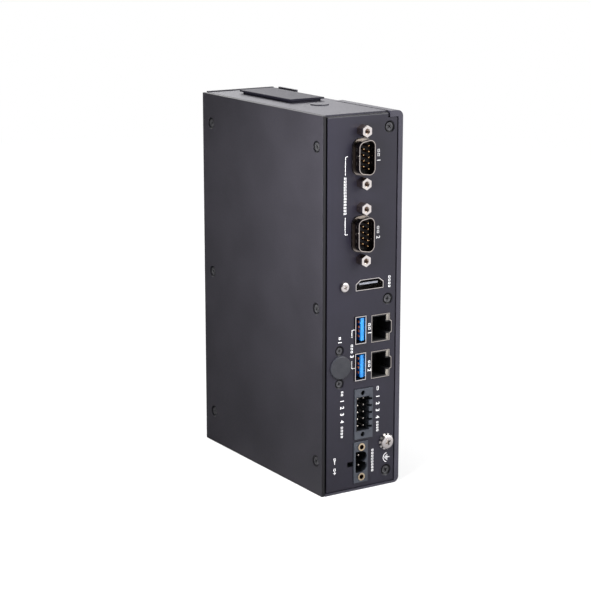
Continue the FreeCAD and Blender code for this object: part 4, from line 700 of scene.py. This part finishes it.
for nodeName, screwSet in screwSets.items():
    look, axis = screwSet["look"], facings[screwSet["facing"]]["axis"]
    boxes = islands(nodeName)
    low, high = boxes[0]
    radius, long = (high.z - low.z) / 2, high[axis] - low[axis]
    height = screwSet["head"] * mm
    crown = look["Crown"] * height
    sunk = look is countersunkLook
    above = 0.0 if sunk else height + crown
    places = outerPlaces(boxes, screwSet["facing"], above)
    sizes = {"Head Radius": radius * look["Radius Ratio"], "Head Height": height,
             "Base Ratio": look["Base Ratio"], "Shoulder": look["Shoulder"], "Crown": crown,
             "Proud": -look["Sink"] * mm if sunk else height, "Shank Radius": radius * look["Shank Ratio"],
             "Shank Length": long - above, "Recess Span": radius * look["Span Ratio"],
             "Recess Width": radius * look["Width Ratio"], "Recess Depth": radius * look["Depth Ratio"]}
    piece = grown(nodeName + "_turned", screws, places, sizes, screwSet, turnSpread=45.0)
    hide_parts(nodeName)
    print(nodeName, "made with", len(places), "screws")

# Contact pins with domed tips

pinSets = {
    "com1_pins": {"facing": "front", "tip": 0.9, "finish": "goldPlate", "slot": "gold"},
    "com2_pins": {"facing": "front", "tip": 0.9, "finish": "goldPlate", "slot": "gold"},
    "io_header_pins": {"facing": "front", "tip": 0.35, "finish": "tinnedPin", "slot": "tinned_pin"},
    "power_header_pins": {"facing": "front", "tip": 0.4, "finish": "tinnedPin", "slot": "tinned_pin"},
}
for nodeName, pinSet in pinSets.items():
    boxes = islands(nodeName)
    low, high = boxes[0]
    places = outerPlaces(boxes, pinSet["facing"], 0.0)
    sizes = {"Radius": (high.x - low.x) / 2, "Length": high.y - low.y, "Tip": pinSet["tip"] * mm}
    piece = grown(nodeName + "_domed", pins, places, sizes, pinSet)
    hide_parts(nodeName)
    print(nodeName, "made with", len(places), "pins")

# Threads inside the jackscrews, the rail inserts and the brass inserts

threadSets = {
    "jackscrewThreads": {"node": "com_jackscrews", "facing": "front", "bore": 1.36, "wire": 0.1,
                         "turns": 8.0, "depth": 4.2, "inset": 0.5, "finish": "jackNickel", "slot": "nickel"},
    "railThreads": {"node": "rail_inserts", "facing": "rear", "bore": 1.9, "wire": 0.2,
                    "turns": 8.0, "depth": 6.0, "inset": 0.25, "finish": "nickelPlate", "slot": "nickel"},
    "brassThreads": {"node": "power_header_inserts", "facing": "front", "bore": 1.17, "wire": 0.08,
                     "turns": 7.0, "depth": 4.0, "inset": 1.2, "finish": "turnedBrass", "slot": "brass"},
}
for name, threadSet in threadSets.items():
    places = outerPlaces(islands(threadSet["node"]), threadSet["facing"], threadSet["inset"] * mm)
    sizes = {"Bore Radius": threadSet["bore"] * mm, "Wire Radius": threadSet["wire"] * mm,
             "Turns": threadSet["turns"], "Depth": threadSet["depth"] * mm}
    grown(name, threads, places, sizes, threadSet)
    print(name, "cut in", len(places), "bores")


# Printed marks on the front panel: plain numbers, bars and brackets

printLook = {"rise": 0.03, "line": 0.28, "thin": 0.7, "block": 1.4, "blockGap": 0.5, "sign": 0.8,
             "letter": 2.0, "letterRatio": 0.7, "bold": 0.05}
earthLook = {"ring": 2.5, "start": 100.0, "sweep": 160.0, "bars": (1.5, 1.0, 0.45), "step": 0.62,
             "back": 0.1, "stem": 1.5}


def onPanel(x, z, proud=0.0):
    # x from the left outer face and z from the base, both in millimetres
    return Vector((cadLow.x + x * mm, panelFace - proud * mm, cadLow.z + z * mm))


def barMesh(left, low, right, high):
    # a thin printed field between two corners
    shape = bmesh.new()
    corners = [onPanel(left, low), onPanel(right, low), onPanel(right, high), onPanel(left, high)]
    face = shape.faces.new([shape.verts.new(corner) for corner in corners])
    raised = bmesh.ops.extrude_face_region(shape, geom=[face])
    lifted = [part for part in raised["geom"] if isinstance(part, bmesh.types.BMVert)]
    bmesh.ops.translate(shape, verts=lifted, vec=(0, -printLook["rise"] * mm, 0))
    bmesh.ops.recalc_face_normals(shape, faces=shape.faces)
    return shape


def blockMeshes(left, low, right, high):
    # a field of small open frames in a row, from top to bottom
    line, gap = printLook["line"], printLook["blockGap"]
    thin = line * printLook["thin"]
    count = max(1, round((high - low) / printLook["block"]))
    pitch = (high - low + gap) / count
    bars = []
    for step in range(count):
        base, top = low + pitch * step, low + pitch * (step + 1) - gap
        bars += [barMesh(left, base, left + line, top), barMesh(right - line, base, right, top),
                 barMesh(left + line, base, right - line, base + thin),
                 barMesh(left + line, top - thin, right - line, top)]
    return bars


def arcMesh(x, z, outer, wide, start, sweep):
    # a printed arc round a point, in degrees from the right, with a step for every ten
    shape = bmesh.new()
    steps = int(sweep / 10)
    rows = []
    for step in range(steps + 1):
        angle = math.radians(start + sweep * step / steps)
        row = []
        for reach in (outer - wide, outer):
            for proud in (0.0, printLook["rise"]):
                place = onPanel(x + reach * math.cos(angle), z + reach * math.sin(angle), proud)
                row.append(shape.verts.new(place))
        rows.append((row[0], row[1], row[3], row[2]))
    for first, second in zip(rows, rows[1:]):
        for side in range(4):
            following = (side + 1) % 4
            shape.faces.new((first[side], first[following], second[following], second[side]))
    shape.faces.new(rows[0])
    shape.faces.new(tuple(reversed(rows[-1])))
    bmesh.ops.recalc_face_normals(shape, faces=shape.faces)
    return shape


def numberMesh(text, x, z):
    # numbers are printed turned a quarter, so that they read from top to bottom
    letters = bpy.data.curves.new("number", "FONT")
    letters.body = text
    letters.size = printLook["letter"] / printLook["letterRatio"] * mm
    letters.align_x = "CENTER"
    letters.align_y = "CENTER"
    letters.extrude = printLook["rise"] / 2 * mm
    letters.offset = printLook["bold"] * mm
    holder = bpy.data.objects.new("number", letters)
    scene.collection.objects.link(holder)
    mesh = plainMesh("number", holder)
    turn = Matrix(((0, 1, 0), (0, 0, -1), (-1, 0, 0))).to_4x4()
    mesh.transform(Matrix.Translation(onPanel(x, z, printLook["rise"] / 2)) @ turn)
    shape = bmesh.new()
    shape.from_mesh(mesh)
    return shape


# fields are left, low, right and high; numbers are their text, x and z; brackets are the
# line's x, the end with the hook, the other end and the hook's length
markPlaces = {
    "fields": [(30.9, 164.9, 32.1, 168.3), (31.0, 127.7, 32.2, 131.1), (11.85, 138.5, 13.2, 156.1),
               (38.0, 100.4, 39.2, 106.0), (26.6, 80.6, 27.75, 83.8), (26.65, 61.9, 27.8, 65.1),
               (16.4, 70.2, 17.55, 74.4), (10.9, 49.6, 12.05, 51.8), (10.9, 28.4, 12.05, 34.0),
               (31.85, 49.4, 33.0, 51.4), (31.85, 28.4, 33.0, 33.4), (29.05, 8.2, 30.2, 19.6),
               (9.45, 77.9, 10.6, 79.1), (6.8, 17.3, 7.95, 18.6), (6.8, 12.1, 7.95, 13.4)],
    "numbers": [("1", 31.5, 162.9), ("2", 31.6, 125.7), ("1", 27.15, 79.0), ("2", 27.2, 60.3),
                ("1", 10.0, 76.4), ("3", 17.0, 68.5),
                ("1", 11.46, 46.9), ("2", 11.47, 43.6), ("3", 11.48, 40.2), ("4", 11.49, 36.6),
                ("1", 32.39, 46.2), ("2", 32.4, 42.7), ("3", 32.41, 39.2), ("4", 32.41, 35.7)],
    "brackets": [(12.6, 165.9, 157.1, 1.4), (12.65, 128.7, 137.0, 1.4), (17.0, 81.5, 77.8, 1.7),
                 (17.0, 62.4, 66.1, 1.7)],
    "earth": (38.5, 14.0), "minus": (7.4, 16.3), "plus": (7.4, 11.0),
}


def earthShapes(x, z, half):
    # an arc open to the right, three bars that grow shorter and a stem
    look = earthLook
    shapes = [arcMesh(x, z, look["ring"], printLook["line"], look["start"], look["sweep"])]
    for step, reach in enumerate(look["bars"]):
        away = x - look["back"] - step * look["step"]
        shapes.append(barMesh(away - half, z - reach, away + half, z + reach))
    return shapes + [barMesh(x - look["back"], z - half, x + look["stem"], z + half)]


def printedMarks():
    shapes = [shape for field in markPlaces["fields"] for shape in blockMeshes(*field)]
    shapes += [numberMesh(*number) for number in markPlaces["numbers"]]
    half, reach = printLook["line"] / 2, printLook["sign"]
    for x, hooked, plain, hook in markPlaces["brackets"]:
        shapes.append(barMesh(x - half, min(hooked, plain), x + half, max(hooked, plain)))
        shapes.append(barMesh(x + half, hooked - half, x + hook, hooked + half))
    shapes += earthShapes(*markPlaces["earth"], half)
    for sign in ("minus", "plus"):
        x, z = markPlaces[sign]
        shapes.append(barMesh(x - half, z - reach, x + half, z + reach))
    shapes.append(barMesh(x - reach, z - half, x + reach, z + half))
    whole = bmesh.new()
    for shape in shapes:
        part = bpy.data.meshes.new("mark")
        shape.to_mesh(part)
        whole.from_mesh(part)
        shape.free()
        bpy.data.meshes.remove(part)
    mesh = bpy.data.meshes.new("panelMarks")
    whole.to_mesh(mesh)
    whole.free()
    mesh.materials.append(finishes["whiteInk"])
    return shown("panelMarks", mesh, smoothAngle=20.0)


printedMarks()
print("marks printed on the front panel")


# Stage: pale floor, soft lamps and the camera; lengths of the floor and the lamps are metres

stageLook = {"floor": 12.0, "white": 0.8, "veil": 0.45, "veilReach": (0.35, 1.2), "world": 0.8,
             "mirror": (0.06, 0.85), "mirrorWay": (0.55, 0.83), "mirrorReach": (-0.06, 0.22),
             "sky": (0.06, 1.0), "skyReach": (-0.2, 0.5), "tint": (0.96, 0.94, 1.0)}
lampLooks = {
    "keyLamp": {"power": 16.0, "size": 1.2, "place": (0.75, -0.95, 0.85), "mirrored": True},
    "backLamp": {"power": 9.0, "size": 1.3, "place": (0.15, 1.0, 0.85), "mirrored": True},
    "leftLamp": {"power": 0.73, "size": 0.1, "place": (-0.13, -0.095, 0.16), "mirrored": False},
}


def paleFloor():
    half = stageLook["floor"] / 2
    mesh = bpy.data.meshes.new("floor")
    corners = [(-half, -half, 0), (half, -half, 0), (half, half, 0), (-half, half, 0)]
    mesh.from_pydata(corners, [], [(0, 1, 2, 3)])
    finish = Finish("floorWhite")
    white = stageLook["white"]
    x = finish.along("X")
    y = x.outlet("Y")
    away = (x * x + y * y).root()
    plain = finish.add("ShaderNodeBsdfDiffuse", None, {"Color": rgb(white, white, white)})
    bright = finish.add("ShaderNodeEmission", None, {"Color": rgb(1.0, 1.0, 1.0), "Strength": 1.0})
    # polished parts see a floor that is dark at the rear left and bright at the front right
    right, back = stageLook["mirrorWay"]
    grey = finish.between(x * right - y * back, *stageLook["mirrorReach"], *stageLook["mirror"])
    shade = finish.blend(grey, rgb(0.0, 0.0, 0.0), rgb(*stageLook["tint"]))
    dull = finish.add("ShaderNodeEmission", None, {"Color": shade, "Strength": 1.0})
    seen, glossy = finish.rays()
    veil = finish.between(away, *stageLook["veilReach"], stageLook["veil"], 1.0)
    lit = finish.add("ShaderNodeMixShader", None, {0: seen * veil, 1: plain, 2: bright})
    mixed = finish.add("ShaderNodeMixShader", None, {0: glossy, 1: lit, 2: dull})
    finish.add("ShaderNodeOutputMaterial", None, {"Surface": mixed})
    mesh.materials.append(finish.material)
    floor = bpy.data.objects.new("floor", mesh)
    floor.location.z = cadLow.z
    scene.collection.objects.link(floor)


def softLamp(name, power, size, place, mirrored):
    lamp = bpy.data.lights.new(name, "AREA")
    lamp.shape = "DISK"
    lamp.size = size
    lamp.energy = power
    holder = bpy.data.objects.new(name, lamp)
    holder.visible_camera = False
    holder.visible_glossy = mirrored
    holder.location = place
    aim = (cadLow + cadHigh) / 2 - Vector(place)
    holder.rotation_euler = aim.to_track_quat("-Z", "Y").to_euler()
    scene.collection.objects.link(holder)


def whiteWorld():
    # white where it is seen, and for polished parts dark on the left and bright on the right
    world = bpy.data.worlds.new("studio")
    world.use_nodes = True
    graph = Graph(world.node_tree)
    world.node_tree.nodes.clear()
    seen, glossy = graph.rays()
    way = graph.add("ShaderNodeTexCoord", outlet="Object")
    side = graph.add("ShaderNodeSeparateXYZ", None, {"Vector": way}, "X")
    sky = graph.between(side, *stageLook["skyReach"], *stageLook["sky"])
    strength = seen + glossy * sky + (1 - seen.most(glossy)) * stageLook["world"]
    tinted = graph.blend(glossy, rgb(1.0, 1.0, 1.0), rgb(*stageLook["tint"]))
    background = graph.add("ShaderNodeBackground", None, {"Color": tinted, "Strength": strength})
    graph.add("ShaderNodeOutputWorld", None, {"Surface": background})
    scene.world = world


viewLook = {"place": (-471.11, -745.57, 291.75), "yaw": 32.18, "pitch": 13.08, "lens": 108.55,
            "film": 36.0, "clip": 10.0}


def viewer():
    camera = bpy.data.cameras.new("camera")
    camera.lens = viewLook["lens"]
    camera.sensor_width = viewLook["film"]
    camera.clip_start = viewLook["clip"] * mm
    holder = bpy.data.objects.new("camera", camera)
    holder.location = Vector(viewLook["place"]) * mm
    holder.rotation_euler = (math.radians(90 - viewLook["pitch"]), 0.0, -math.radians(viewLook["yaw"]))
    scene.collection.objects.link(holder)
    scene.camera = holder


paleFloor()
whiteWorld()
for lampName, lampLook in lampLooks.items():
    softLamp(lampName, **lampLook)
viewer()
scene.view_settings.view_transform = "Standard"
print("stage and camera set")
